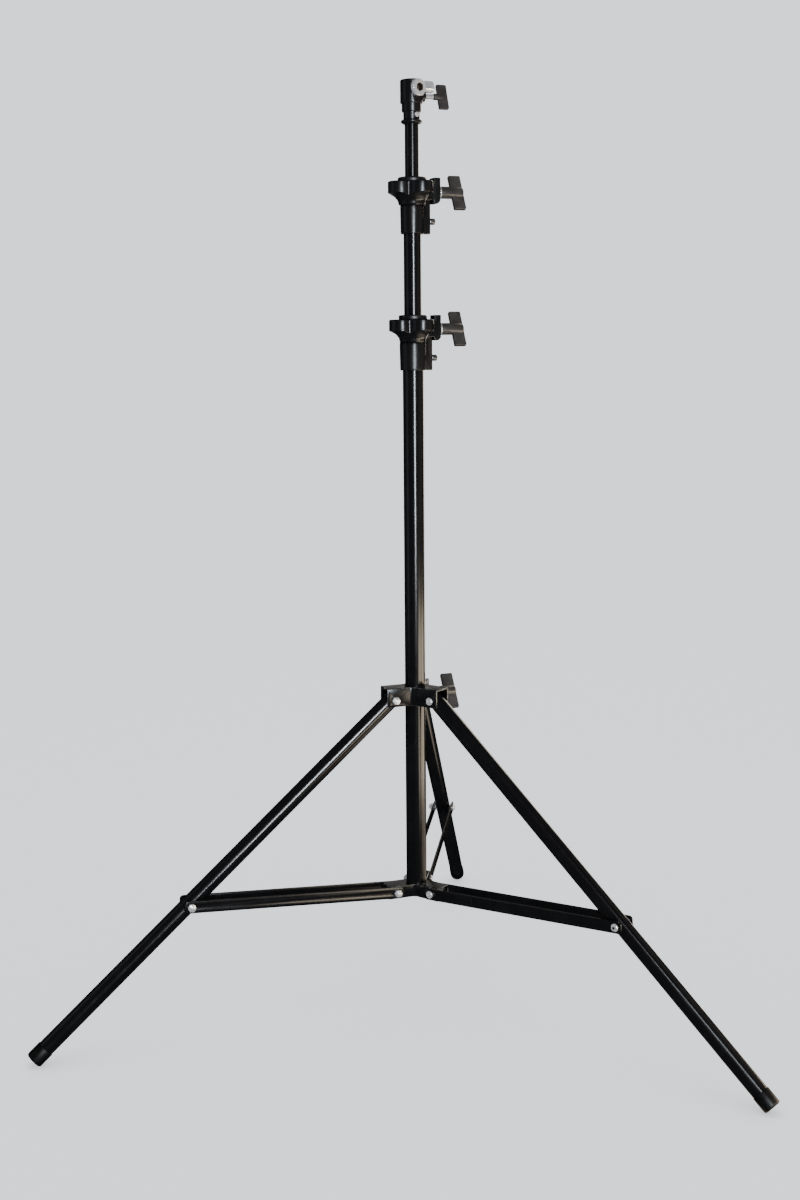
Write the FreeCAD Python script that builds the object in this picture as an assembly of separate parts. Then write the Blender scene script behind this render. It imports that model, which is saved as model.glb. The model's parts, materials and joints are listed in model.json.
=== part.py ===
"""Three section telescopic lighting stand on a folding tripod base.

Millimetres, +Z up. The feet stand on Z = 0. Everything is drawn about the mast
axis with the rear leg along +Y, and is then shifted so that the origin lies in
the middle of the footprint.
"""
import FreeCAD, Part
import math
import os

V = FreeCAD.Vector
Z_AXIS = V(0, 0, 1)
ORIGIN = V(0, 0, 0)

# Mast tubes
BASE_TUBE_OD = 35.0
RISER_2_OD = 29.0
RISER_3_OD = 23.0
TUBE_WALL = 1.5
BASE_TUBE_LENGTH = 948.5
RISER_2_LENGTH = 1018.0
RISER_3_LENGTH = 1064.0
RISER_2_SHOWS = 132.0
RISER_3_SHOWS = 85.0
BASE_PLUG_HEIGHT = 14.0
BASE_PLUG_WALL = 2.5
BASE_PLUG_FLOOR = 3.0

# Tripod linkage, pivot to pivot
PIVOT_RADIUS = 43.0
PIVOT_SPREAD = 338.7
LEG_LENGTH = 829.0
LEG_TO_BRACE = 481.5
BRACE_LENGTH = 365.5
LEG_ANGLES = {"rear": 90.0, "left": 210.0, "right": 330.0}

# Legs
LEG_OD = 27.4
LEG_WALL = 1.5
LEG_END_ABOVE_PIVOT = 9.0
PLUG_LENGTH = 18.0
FOOT_WALL = 0.9
FOOT_SKIRT = 23.0
FOOT_SOLE = 4.0
FOOT_ROUNDING = 3.6

# Braces, two flat strips each
STRIP_WIDTH = 20.0
STRIP_THICKNESS = 2.5
STRIP_OVERHANG = 11.0
STRIP_CORNER = 6.0
STRIP_INNER_OFFSET = 16.5

# Clearances
SEAT_GAP = 0.05
SLIDE_GAP = 0.1
PIVOT_GAP = 0.08
RUNNING_GAP = 0.3
THROUGH_GAP = 1.1

# Steps in which a rounded turned edge is drawn
ARC_STEPS = 4

# Spider brackets
BRACKET_WALL = 2.75
BRACKET_REACH = 57.5
BRACKET_WEB = 2.75
BRACKET_FILLET = 6.0
BRACKET_EDGE = 0.8
LOWER_BRACKET_HEIGHT = 22.0
SLIDER_HEIGHT = 32.0
SLIDER_PIVOT_ABOVE_BOTTOM = 11.3
SLIDER_EAR_GAP = 0.4
HUB_WALL = 2.75
SLIDER_BUSH_WALL = 2.0
GRUB_SCREW_PROUD = 2.5
GRUB_SCREW_SOCKET_D = 2.5
GRUB_SCREW_SOCKET_DEPTH = 2.0

# Pivot bolts and nuts
BOLT_D = 7.0
BOLT_HEAD_D = 13.0
BOLT_HEAD_HEIGHT = 4.2
BOLT_SOCKET_D = 3.6
BOLT_SOCKET_DEPTH = 1.6
NUT_ACROSS_FLATS = 12.0
NUT_HEIGHT = 5.5
NUT_COLLAR_D = 10.8
NUT_COLLAR_HEIGHT = 2.2
BOLT_TAIL = 1.6
STUD_HEAD_D = 12.5

# Clamp collars
COLLAR_SLEEVE_HEIGHT = 46.5
COLLAR_HEAD_HEIGHT = 37.0
COLLAR_TUBE_DEPTH = 43.0
COLLAR_1_SLEEVE_D = 45.0
COLLAR_2_SLEEVE_D = 40.0
COLLAR_SLEEVE_TAPER = 0.8
COLLAR_CORE_D = 54.0
LOBE_D = 40.0
LOBE_CENTRE_RADIUS = 24.6
LOBE_ANGLES = (135.0, 225.0, 315.0)
LOBE_VALLEY_RADIUS = 5.0
LOBE_SIDE_HEIGHT = 18.5
LOBE_EDGE = 1.3
FLARE_MARGIN = 4.0
FLARE_NECK_INSET = 5.0
GROOVE_WIDTH = 1.6
GROOVE_DEPTH = 0.8
CLAMP_AXIS_BELOW_TOP = 15.5
CLAMP_BLOCK_WIDTH = 20.0
CLAMP_BLOCK_THICKNESS = 12.3
CLAMP_BLOCK_FACE = 47.3
CLAMP_BLOCK_HEIGHT = 42.0
CLAMP_BLOCK_CHAMFER = 5.0
CLAMP_NECK_HEIGHT = 26.0
LUG_WIDTH = 12.0
LUG_PROUD = 10.4
LUG_ROUNDING = 2.0
COLLAR_SCREW_HEIGHT = 20.5
COLLAR_SCREW_D = 5.0
COLLAR_SCREW_HEAD_D = 10.4
COLLAR_SCREW_HEAD_LENGTH = 9.5
COLLAR_SCREW_SOCKET_D = 5.2
COLLAR_SCREW_SOCKET_DEPTH = 3.5
SCREW_CHAMFER = 0.8
BUSH_WALL = 2.4
BUSH_LENGTH = 30.0
BUSH_FLANGE_D = 47.0
BUSH_FLANGE_HEIGHT = 7.6
BUSH_FLANGE_ROUNDING = 1.5
GUIDE_LENGTH = 25.0
GUIDE_LEAD = 0.5

# T-handles
CLAMP_ANGLE = 30.0
STUD_D = 8.0
STUD_CHAMFER = 1.2
SHOE_D = 11.0
SHOE_THICKNESS = 3.0
WASHER_D = 20.0
WASHER_THICKNESS = 2.4
HUB_D = 19.8
HUB_FOOT_CHAMFER = 1.0
HUB_CROWN_SIDE = 2.4
HUB_CROWN_RISE = 2.5
HUB_CROWN_DOME = 0.6
BLADE_FLAT_SHARE = 0.6
STUD_IN_HUB = 16.0
HANDLE_REACH = 40.0
BLADE_LENGTH = 62.6
BLADE_ROOT = 18.8
BLADE_TIP = 17.4
BLADE_THICKNESS = 8.0
BLADE_EDGE = 1.1
BLADE_CORNER = 2.5
COLLAR_HANDLE_TURN = 26.6
SLIDER_HANDLE_TURN = 31.0
SLIDER_CLAMP_ABOVE_PIVOT = 4.7
SLIDER_BOSS_D = 20.0
SLIDER_BOSS_FACE = 31.0

# Head
HEAD_D = 37.0
HEAD_TOP_HEIGHT = 37.5
HEAD_SHOULDER_D = 32.0
HEAD_SHOULDER_HEIGHT = 13.5
HEAD_NECK_D = 27.0
HEAD_NECK_HEIGHT = 12.0
HEAD_TUBE_DEPTH = 16.0
HEAD_EDGE = 1.5
HEAD_STEP_EDGE = 0.6
HEAD_RING_D = 35.0
HEAD_RING_HEIGHT = 7.0
HEAD_RING_BEVEL = 3.0
HEAD_RING_BEVEL_BELOW = 2.5
HEAD_RING_BEVEL_ABOVE = 2.0
SOCKET_D = 16.2
SOCKET_DEPTH = 40.0
SOCKET_LEAD_IN = 0.8
SIDE_ANGLE = -45.0
HEAD_SCREW_D = 4.0
HEAD_SCREW_HEAD_D = 8.0
HEAD_SCREW_HEAD_LENGTH = 2.2
HEAD_SCREW_ABOVE_MIDDLE = 1.0
CROSS_SOCKET_BELOW_TOP = 14.0
CROSS_SOCKET_FLANGE_D = 27.0
CROSS_SOCKET_FACE = 23.0
CROSS_SOCKET_SHANK_D = 19.0
CROSS_SOCKET_FLATS = 12.0
CROSS_SOCKET_FLOOR = 2.0
CROSS_SOCKET_EDGE = 1.2
SIDE_STUD_BELOW_TOP = 10.0
SIDE_STUD_D = 19.0
SIDE_STUD_FACE = 38.0
SIDE_STUD_SHANK_D = 9.0
SIDE_STUD_DOME = 3.0
SIDE_POCKET_WALL = 2.9
SPOT_FACE = 16.5
HEAD_CLAMP_BELOW_TOP = 25.0
HEAD_BOSS_D = 18.0
HEAD_BOSS_FACE = 22.5
HEAD_HUB_D = 11.6
HEAD_HUB_START = 38.6
HEAD_HANDLE_REACH = 25.4
HEAD_BLADE_LENGTH = 42.4
HEAD_BLADE_ROOT = 17.6
HEAD_BLADE_TIP = 12.0
HEAD_BLADE_THICKNESS = 6.5
HEAD_HANDLE_TURN = 20.0
HEAD_STUD_IN_HUB = 14.0
HEAD_STUD_STAND_OFF = 0.6


def fold_angle():
    """Angle between a leg and the mast, from the three pivot distances."""
    near = LEG_TO_BRACE ** 2 + PIVOT_SPREAD ** 2 - BRACE_LENGTH ** 2
    return math.acos(near / (2.0 * LEG_TO_BRACE * PIVOT_SPREAD))


def rounded_edge(radius, rounding):
    """Points (radius, height) up the rounded bottom edge of a round piece that starts at height 0."""
    points = []
    for step in range(ARC_STEPS + 1):
        turn = math.pi / 2.0 * step / ARC_STEPS
        points.append((radius - rounding * (1.0 - math.sin(turn)), rounding * (1.0 - math.cos(turn))))
    return points


# Worked out sizes
LEG_TILT = fold_angle()
LEG_R = LEG_OD / 2.0
FOOT_R = LEG_R + SEAT_GAP + FOOT_WALL
FOOT_EDGE = rounded_edge(FOOT_R, FOOT_ROUNDING)
FOOT_END_Z = max(r * math.sin(LEG_TILT) - z * math.cos(LEG_TILT) for r, z in FOOT_EDGE)
UPPER_PIVOT_Z = FOOT_END_Z + LEG_LENGTH * math.cos(LEG_TILT)
LOWER_PIVOT_Z = UPPER_PIVOT_Z - PIVOT_SPREAD
MAST_BOTTOM_Z = LOWER_PIVOT_Z - LOWER_BRACKET_HEIGHT / 2.0
BASE_TUBE_TOP_Z = MAST_BOTTOM_Z + BASE_TUBE_LENGTH
COLLAR_1_Z = BASE_TUBE_TOP_Z - COLLAR_TUBE_DEPTH
COLLAR_HEIGHT = COLLAR_SLEEVE_HEIGHT + COLLAR_HEAD_HEIGHT
COLLAR_2_Z = COLLAR_1_Z + COLLAR_HEIGHT + BUSH_FLANGE_HEIGHT + RISER_2_SHOWS
RISER_2_TOP_Z = COLLAR_2_Z + COLLAR_TUBE_DEPTH
HEAD_Z = COLLAR_2_Z + COLLAR_HEIGHT + BUSH_FLANGE_HEIGHT + RISER_3_SHOWS
HEAD_BODY_Z = HEAD_Z + HEAD_RING_HEIGHT
HEAD_TOP_Z = HEAD_BODY_Z + HEAD_NECK_HEIGHT + HEAD_SHOULDER_HEIGHT + HEAD_TOP_HEIGHT
RISER_3_TOP_Z = HEAD_BODY_Z + HEAD_TUBE_DEPTH
SLIDER_Z = UPPER_PIVOT_Z - SLIDER_PIVOT_ABOVE_BOTTOM
SLIDER_CLAMP_Z = UPPER_PIVOT_Z + SLIDER_CLAMP_ABOVE_PIVOT
EAR_HALF_UPPER = LEG_R + SLIDER_EAR_GAP + BRACKET_WALL
EAR_HALF_LOWER = STRIP_INNER_OFFSET - RUNNING_GAP
STRIP_OUTER_OFFSET = STRIP_INNER_OFFSET + STRIP_THICKNESS


def cylinder(diameter, start, end):
    """Round bar between two heights on the Z axis."""
    return Part.makeCylinder(diameter / 2.0, end - start, V(0, 0, start), Z_AXIS)


def ring(outer, inner, start, end):
    """Tube between two heights on the Z axis."""
    return cylinder(outer, start, end).cut(cylinder(inner, start, end))


def turned(points):
    """Solid of revolution from (radius, height) points."""
    outline = [V(r, 0, z) for r, z in points]
    face = Part.Face(Part.makePolygon(outline + [outline[0]]))
    return face.revolve(ORIGIN, Z_AXIS, 360)


def prism(points, height):
    """Flat outline of (x, y) points raised along Z."""
    outline = [V(x, y, 0) for x, y in points]
    return Part.Face(Part.makePolygon(outline + [outline[0]])).extrude(V(0, 0, height))


def block(x0, x1, y0, y1, z0, z1):
    """Rectangular block between two corners."""
    return Part.makeBox(x1 - x0, y1 - y0, z1 - z0, V(x0, y0, z0))


def lifted(shape, height):
    """Copy of a shape moved up."""
    return shape.translated(V(0, 0, height))


def swung(shape, angle):
    """Copy of a shape turned about the mast axis, in degrees."""
    return shape.rotated(ORIGIN, Z_AXIS, angle)


def laid(shape):
    """Copy of a shape drawn along +Z, laid along +X."""
    return shape.rotated(ORIGIN, V(0, 1, 0), 90)


def radial(shape, angle, height):
    """Shape drawn along +Z from the mast axis, aimed outwards at an angle and height."""
    return swung(lifted(laid(shape), height), angle)


def fused(first, *others):
    """One clean solid from overlapping pieces."""
    return first.fuse(list(others)).removeSplitter()


def upright_edges(shape, keep):
    """Straight vertical edges whose middle passes the test."""
    found = []
    for edge in shape.Edges:
        start, end = edge.Vertexes[0].Point, edge.Vertexes[-1].Point
        if math.hypot(end.x - start.x, end.y - start.y) > 0.001:
            continue
        if keep((start + end) * 0.5):
            found.append(edge)
    return found


def edges_at_height(shape, height, keep=None):
    """Edges that lie wholly at one height."""
    found = []
    for edge in shape.Edges:
        box = edge.BoundBox
        if abs(box.ZMin - height) > 0.01 or abs(box.ZMax - height) > 0.01:
            continue
        if keep is None or keep(edge):
            found.append(edge)
    return found


def hexagon(across_flats, start, end):
    """Six sided bar on the Z axis."""
    corner = across_flats / 2.0 / math.cos(math.radians(30.0))
    points = []
    for side in range(6):
        turn = math.radians(60.0 * side)
        points.append((corner * math.cos(turn), corner * math.sin(turn)))
    return lifted(prism(points, end - start), start)


def solids_of(shapes):
    """Separate solids kept together in one sub-part."""
    return Part.makeCompound(list(shapes))


# Mast tubes and the rings that guide them


def base_tube():
    return ring(BASE_TUBE_OD, BASE_TUBE_OD - 2.0 * TUBE_WALL, MAST_BOTTOM_Z, BASE_TUBE_TOP_Z)


def base_plug():
    """Plastic plug pressed into the open foot of the mast."""
    plug_d = BASE_TUBE_OD - 2.0 * TUBE_WALL - 2.0 * SEAT_GAP
    top = MAST_BOTTOM_Z + BASE_PLUG_HEIGHT
    hollow = cylinder(plug_d - 2.0 * BASE_PLUG_WALL, MAST_BOTTOM_Z + BASE_PLUG_FLOOR, top)
    return cylinder(plug_d, MAST_BOTTOM_Z, top).cut(hollow)


def riser_tube(outer, top, length):
    return ring(outer, outer - 2.0 * TUBE_WALL, top - length, top)


def riser_guide(tube_od, bore_d, bottom):
    """Plastic ring on a riser's lower end that runs in the tube below."""
    outer = bore_d / 2.0 - SLIDE_GAP
    inner = tube_od / 2.0 + SEAT_GAP
    return turned([
        (inner, bottom),
        (outer - GUIDE_LEAD, bottom),
        (outer, bottom + GUIDE_LEAD * 2.0),
        (outer, bottom + GUIDE_LENGTH - GUIDE_LEAD * 2.0),
        (outer - GUIDE_LEAD, bottom + GUIDE_LENGTH),
        (inner, bottom + GUIDE_LENGTH),
    ])


# Clamp collars


def clamp_bore(shoe_from, stud_to):
    """Stepped cross bore: the wide part takes the shoe, the narrow part the stud."""
    wide = cylinder(SHOE_D + 2.0 * SEAT_GAP, 0.0, shoe_from)
    narrow = cylinder(STUD_D + 2.0 * PIVOT_GAP, 0.0, stud_to)
    return wide.fuse(narrow)


def shoe_seat(tube_od):
    """Radius at which a clamp shoe ends and its stud begins."""
    return tube_od / 2.0 + RUNNING_GAP + SHOE_THICKNESS


def lobed_head(top):
    """Scalloped clamp head with an undercut that sweeps down to the sleeve."""
    bottom = top - COLLAR_HEAD_HEIGHT
    head = cylinder(COLLAR_CORE_D, bottom, top)
    for angle in LOBE_ANGLES:
        lobe = cylinder(LOBE_D, bottom, top).translated(V(LOBE_CENTRE_RADIUS, 0, 0))
        head = head.fuse(swung(lobe, angle))
    head = head.removeSplitter()
    head = head.makeFillet(LOBE_VALLEY_RADIUS, upright_edges(head, lambda middle: True))
    tip = LOBE_CENTRE_RADIUS + LOBE_D / 2.0
    side_z = top - LOBE_SIDE_HEIGHT
    neck_r = COLLAR_CORE_D / 2.0 - FLARE_NECK_INSET
    outline = [(0, bottom)]
    for step in range(ARC_STEPS + 1):
        turn = math.pi / 2.0 * step / ARC_STEPS
        outline.append((
            neck_r + (tip - neck_r) * (1.0 - math.cos(turn)),
            bottom + (side_z - bottom) * math.sin(turn),
        ))
    outline += [(tip + FLARE_MARGIN, side_z), (tip + FLARE_MARGIN, top), (0, top)]
    head = head.common(turned(outline)).removeSplitter()
    return head.makeChamfer(LOBE_EDGE, edges_at_height(head, top))


def clamp_block(top):
    """Upright block on a short neck that the T-handle's stud is threaded through."""
    half = CLAMP_BLOCK_WIDTH / 2.0
    inner = CLAMP_BLOCK_FACE - CLAMP_BLOCK_THICKNESS
    crown = top + BUSH_FLANGE_HEIGHT
    foot = crown - CLAMP_BLOCK_HEIGHT
    chamfer = CLAMP_BLOCK_CHAMFER
    outline = [
        V(inner, half, crown),
        V(CLAMP_BLOCK_FACE, half, crown),
        V(CLAMP_BLOCK_FACE, half, foot + chamfer),
        V(CLAMP_BLOCK_FACE - chamfer, half, foot),
        V(inner, half, foot),
    ]
    face = Part.Face(Part.makePolygon(outline + [outline[0]]))
    upright = face.extrude(V(0, -CLAMP_BLOCK_WIDTH, 0))
    corners = upright_edges(upright, lambda middle: middle.x > CLAMP_BLOCK_FACE - 0.01)
    upright = upright.makeFillet(BLADE_CORNER, corners)
    middle = top - CLAMP_AXIS_BELOW_TOP
    neck_half = CLAMP_NECK_HEIGHT / 2.0
    reach = CLAMP_BLOCK_FACE - CLAMP_BLOCK_THICKNESS / 2.0
    neck = block(0, reach, -half, half, middle - neck_half, middle + neck_half)
    return swung(fused(upright, neck), CLAMP_ANGLE)


def sleeve_lug(bottom, top, reach):
    """Straight lug down the sleeve that the fixing screw goes through."""
    half = LUG_WIDTH / 2.0
    lug = block(0, reach, -half, half, bottom, top)
    corners = upright_edges(lug, lambda middle: middle.x > 1.0)
    return swung(lug.makeFillet(LUG_ROUNDING, corners), CLAMP_ANGLE)


def collar(bottom, sleeve_d, lower_od, upper_od):
    """Cast collar fixed on the top of one tube and clamping the next one."""
    shoulder = bottom + COLLAR_SLEEVE_HEIGHT
    top = shoulder + COLLAR_HEAD_HEIGHT
    sleeve_r = sleeve_d / 2.0
    sleeve = turned([
        (0, bottom),
        (sleeve_r - COLLAR_SLEEVE_TAPER, bottom),
        (sleeve_r, shoulder),
        (0, shoulder),
    ])
    lug = sleeve_lug(bottom, top - CLAMP_AXIS_BELOW_TOP, sleeve_r + LUG_PROUD)
    body = fused(sleeve, lug, lobed_head(top), clamp_block(top))
    groove_r = sleeve_r - GROOVE_DEPTH
    groove = ring(COLLAR_CORE_D, groove_r * 2.0, shoulder - GROOVE_WIDTH, shoulder)
    lug_zone = block(0, CLAMP_BLOCK_FACE, -LUG_WIDTH / 2.0, LUG_WIDTH / 2.0, bottom, top)
    lug_zone = swung(lug_zone, CLAMP_ANGLE)
    body = body.cut(groove.cut(lug_zone))
    tube_bore = cylinder(lower_od + 2.0 * SEAT_GAP, bottom, bottom + COLLAR_TUBE_DEPTH + SEAT_GAP)
    through = cylinder(upper_od + 2.0 * THROUGH_GAP, bottom, top)
    bush_bore = cylinder(bush_outer(upper_od) + 2.0 * SEAT_GAP, top - BUSH_LENGTH, top)
    axis_z = top - CLAMP_AXIS_BELOW_TOP
    cross = radial(clamp_bore(shoe_seat(upper_od) + RUNNING_GAP, CLAMP_BLOCK_FACE), CLAMP_ANGLE, axis_z)
    screw_hole = cylinder(COLLAR_SCREW_D + 2.0 * SEAT_GAP, 0.0, sleeve_r + LUG_PROUD)
    screw_hole = radial(screw_hole, CLAMP_ANGLE, bottom + COLLAR_SCREW_HEIGHT)
    return body.cut([tube_bore, through, bush_bore, cross, screw_hole])


def bush_outer(tube_od):
    """Outside diameter of a collar's bush."""
    return tube_od + 2.0 * SLIDE_GAP + 2.0 * BUSH_WALL


def collar_bush(top, tube_od):
    """Flanged plastic bush that the riser slides through."""
    bore_r = tube_od / 2.0 + SLIDE_GAP
    flange_r = BUSH_FLANGE_D / 2.0
    crown = top + BUSH_FLANGE_HEIGHT
    bush = turned([
        (bore_r, top - BUSH_LENGTH + SEAT_GAP),
        (bush_outer(tube_od) / 2.0, top - BUSH_LENGTH + SEAT_GAP),
        (bush_outer(tube_od) / 2.0, top),
        (flange_r, top),
        (flange_r, crown - BUSH_FLANGE_ROUNDING),
        (flange_r - BUSH_FLANGE_ROUNDING, crown),
        (bore_r, crown),
    ])
    window = cylinder(SHOE_D + 2.0 * SEAT_GAP, 0.0, BUSH_FLANGE_D / 2.0)
    return bush.cut(radial(window, CLAMP_ANGLE, top - CLAMP_AXIS_BELOW_TOP))


def clamp_shoe(tube_od, height):
    """Brass pad, hollowed to the tube, that the stud presses."""
    pad = radial(cylinder(SHOE_D, 0.0, shoe_seat(tube_od)), CLAMP_ANGLE, height)
    return pad.cut(cylinder(tube_od + 2.0 * RUNNING_GAP, height - SHOE_D, height + SHOE_D))


def collar_screw(bottom, sleeve_d, tube_od):
    """Cap screw through the lug that grips the tube below."""
    face = sleeve_d / 2.0 + LUG_PROUD
    head_end = face + COLLAR_SCREW_HEAD_LENGTH
    head_r = COLLAR_SCREW_HEAD_D / 2.0
    shank_r = COLLAR_SCREW_D / 2.0
    screw = turned([
        (0, tube_od / 2.0 + SLIDE_GAP),
        (shank_r, tube_od / 2.0 + SLIDE_GAP),
        (shank_r, face),
        (head_r, face),
        (head_r, head_end - SCREW_CHAMFER),
        (head_r - SCREW_CHAMFER, head_end),
        (0, head_end),
    ])
    screw = screw.cut(hexagon(COLLAR_SCREW_SOCKET_D, head_end - COLLAR_SCREW_SOCKET_DEPTH, head_end))
    return radial(screw, CLAMP_ANGLE, bottom + COLLAR_SCREW_HEIGHT)


# T-handles


def handle(hub_d, hub_start, reach, length, root, tip, thickness, stud_depth, turn, height):
    """Moulded T-handle: a round hub through a flat cross bar."""
    end = hub_start + reach
    hub_r = hub_d / 2.0
    hub = laid(turned([
        (0, hub_start),
        (hub_r - HUB_FOOT_CHAMFER, hub_start),
        (hub_r, hub_start + HUB_FOOT_CHAMFER),
        (hub_r, end - HUB_CROWN_DOME - HUB_CROWN_SIDE),
        (hub_r - HUB_CROWN_RISE, end - HUB_CROWN_DOME),
        (0, end),
    ]))
    inner = end - root
    half = length / 2.0
    middle = hub_r * BLADE_FLAT_SHARE
    outline = [
        V(inner, -thickness / 2.0, -half),
        V(inner + tip, -thickness / 2.0, -half),
        V(end, -thickness / 2.0, -middle),
        V(end, -thickness / 2.0, middle),
        V(inner + tip, -thickness / 2.0, half),
        V(inner, -thickness / 2.0, half),
    ]
    bar = Part.Face(Part.makePolygon(outline + [outline[0]])).extrude(V(0, thickness, 0))
    corners = []
    for edge in bar.Edges:
        box = edge.BoundBox
        if box.YLength > thickness - 0.01 and abs(abs(box.ZMin) - half) < 0.01:
            corners.append(edge)
    bar = bar.makeFillet(BLADE_CORNER, corners)
    rims = [e for e in bar.Edges if e.BoundBox.YLength < 0.01]
    bar = bar.makeChamfer(BLADE_EDGE, rims)
    stud_hole = laid(cylinder(STUD_D + 2.0 * SEAT_GAP, hub_start, hub_start + stud_depth + SEAT_GAP))
    body = fused(hub, bar).cut(stud_hole)
    body = body.rotated(ORIGIN, V(1, 0, 0), -turn)
    return swung(lifted(body, height), CLAMP_ANGLE)


def stud(tip, hub_start, depth, height):
    """Threaded stud moulded into a handle, with a turned-down tip."""
    radius = STUD_D / 2.0
    bar = turned([
        (0, tip),
        (radius - STUD_CHAMFER, tip),
        (radius, tip + STUD_CHAMFER),
        (radius, hub_start + depth),
        (0, hub_start + depth),
    ])
    return radial(bar, CLAMP_ANGLE, height)


def washer(face, height):
    """Bright washer between a clamp face and a handle."""
    start = face + RUNNING_GAP
    disc = ring(WASHER_D, STUD_D + 2.0 * SEAT_GAP, start, start + WASHER_THICKNESS)
    return radial(disc, CLAMP_ANGLE, height)


def clamp_set(name, face, tube_od, turn, height):
    """Handle, stud and washer of one mast clamp."""
    hub_start = face + RUNNING_GAP + WASHER_THICKNESS
    tip = shoe_seat(tube_od) + RUNNING_GAP
    grip = handle(
        HUB_D, hub_start, HANDLE_REACH, BLADE_LENGTH, BLADE_ROOT, BLADE_TIP,
        BLADE_THICKNESS, STUD_IN_HUB, turn, height,
    )
    return {
        name + "_handle": grip,
        name + "_stud": stud(tip, hub_start, STUD_IN_HUB, height),
        name + "_washer": washer(face, height),
    }


# Spider brackets


def star(half_width, reach, bottom, top, hub_d):
    """Three armed outline round a hub, rounded where the arms meet."""
    shape = cylinder(hub_d, bottom, top)
    for angle in LEG_ANGLES.values():
        arm = block(0, reach, -half_width, half_width, bottom, top)
        shape = shape.fuse(swung(arm, angle))
    shape = shape.removeSplitter()
    inner = upright_edges(shape, lambda middle: math.hypot(middle.x, middle.y) < reach * 0.6)
    return shape.makeFillet(BRACKET_FILLET, inner)


def bracket(half_width, bottom, height, pivot_z, hub_bore, hub_d):
    """Pressed spider: three channels, open below and at their ends, round a hub."""
    top = bottom + height
    shell = star(half_width, BRACKET_REACH, bottom, top, hub_d)
    rim = edges_at_height(shell, top)
    shell = shell.makeChamfer(BRACKET_EDGE, rim)
    for angle in LEG_ANGLES.values():
        half = half_width - BRACKET_WALL
        channel = block(hub_d / 2.0, BRACKET_REACH, -half, half, bottom, top - BRACKET_WEB)
        shell = shell.cut(swung(channel, angle))
        hole = Part.makeCylinder(
            BOLT_D / 2.0 + SEAT_GAP, half_width * 2.0,
            V(PIVOT_RADIUS, -half_width, pivot_z), V(0, 1, 0))
        shell = shell.cut(swung(hole, angle))
    return shell.cut(cylinder(hub_bore, bottom, top))


def lower_bracket():
    """Fixed spider on the foot of the mast."""
    bore = BASE_TUBE_OD + 2.0 * SEAT_GAP
    hub_d = bore + 2.0 * HUB_WALL
    body = bracket(EAR_HALF_LOWER, MAST_BOTTOM_Z, LOWER_BRACKET_HEIGHT, LOWER_PIVOT_Z, bore, hub_d)
    hole = cylinder(COLLAR_SCREW_D + 2.0 * SEAT_GAP, 0.0, hub_d)
    return body.cut(radial(hole, CLAMP_ANGLE, LOWER_PIVOT_Z))


def lower_bracket_screw():
    """Grub screw that fixes the lower spider to the mast."""
    start = BASE_TUBE_OD / 2.0 + SLIDE_GAP
    end = start + HUB_WALL + GRUB_SCREW_PROUD
    screw = cylinder(COLLAR_SCREW_D, start, end)
    screw = screw.cut(hexagon(GRUB_SCREW_SOCKET_D, end - GRUB_SCREW_SOCKET_DEPTH, end))
    return radial(screw, CLAMP_ANGLE, LOWER_PIVOT_Z)


def slider_hub_bore():
    return BASE_TUBE_OD + 2.0 * SLIDE_GAP + 2.0 * SLIDER_BUSH_WALL + 2.0 * SEAT_GAP


def slider_bracket():
    """Sliding spider with the boss of its clamp between two channels."""
    bore = slider_hub_bore()
    hub_d = bore + 2.0 * HUB_WALL
    body = bracket(EAR_HALF_UPPER, SLIDER_Z, SLIDER_HEIGHT, UPPER_PIVOT_Z, bore, hub_d)
    boss = cylinder(SLIDER_BOSS_D, bore / 2.0 + HUB_WALL / 2.0, SLIDER_BOSS_FACE)
    body = fused(body, radial(boss, CLAMP_ANGLE, SLIDER_CLAMP_Z))
    cross = clamp_bore(shoe_seat(BASE_TUBE_OD) + RUNNING_GAP, SLIDER_BOSS_FACE)
    return body.cut(radial(cross, CLAMP_ANGLE, SLIDER_CLAMP_Z))


def slider_bush():
    """Plastic bush between the sliding spider and the base tube."""
    outer = slider_hub_bore() - 2.0 * SEAT_GAP
    bush = ring(outer, BASE_TUBE_OD + 2.0 * SLIDE_GAP, SLIDER_Z, SLIDER_Z + SLIDER_HEIGHT)
    window = cylinder(SHOE_D + 2.0 * SEAT_GAP, 0.0, outer)
    return bush.cut(radial(window, CLAMP_ANGLE, SLIDER_CLAMP_Z))


# Pivot fasteners, drawn across a leg's plane with the head on the -Y side


def domed_head(diameter, height, face):
    """Low domed head that stands on a face, growing along -Z."""
    radius = diameter / 2.0
    dome = turned([
        (0, face),
        (radius, face),
        (radius, face - height * 0.45),
        (radius * 0.82, face - height * 0.78),
        (radius * 0.5, face - height * 0.95),
        (0, face - height),
    ])
    return dome.cut(hexagon(BOLT_SOCKET_D, face - height, face - height + BOLT_SOCKET_DEPTH))


def pivot_bolt(grip):
    """Domed bolt across a bracket, with its shank through to the nut."""
    shank = cylinder(BOLT_D, -grip, grip + NUT_HEIGHT + NUT_COLLAR_HEIGHT + BOLT_TAIL)
    return fused(domed_head(BOLT_HEAD_D, BOLT_HEAD_HEIGHT, -grip), shank)


def lock_nut(grip):
    """Hexagon nut with the round collar of its locking ring, not yet bored."""
    top = grip + NUT_HEIGHT
    return fused(hexagon(NUT_ACROSS_FLATS, grip, top), cylinder(NUT_COLLAR_D, grip, top + NUT_COLLAR_HEIGHT))


def pivot_nut(grip):
    """Lock nut on a pivot bolt's tail."""
    bore = cylinder(BOLT_D + 2.0 * SEAT_GAP, grip, grip + NUT_HEIGHT + NUT_COLLAR_HEIGHT)
    return lock_nut(grip).cut(bore)


def across(shape, angle, radius, height):
    """Fastener drawn along +Z, laid across a leg's plane at a pivot."""
    lying = shape.rotated(ORIGIN, V(1, 0, 0), -90)
    return swung(lying.translated(V(radius, 0, height)), angle)


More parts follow.
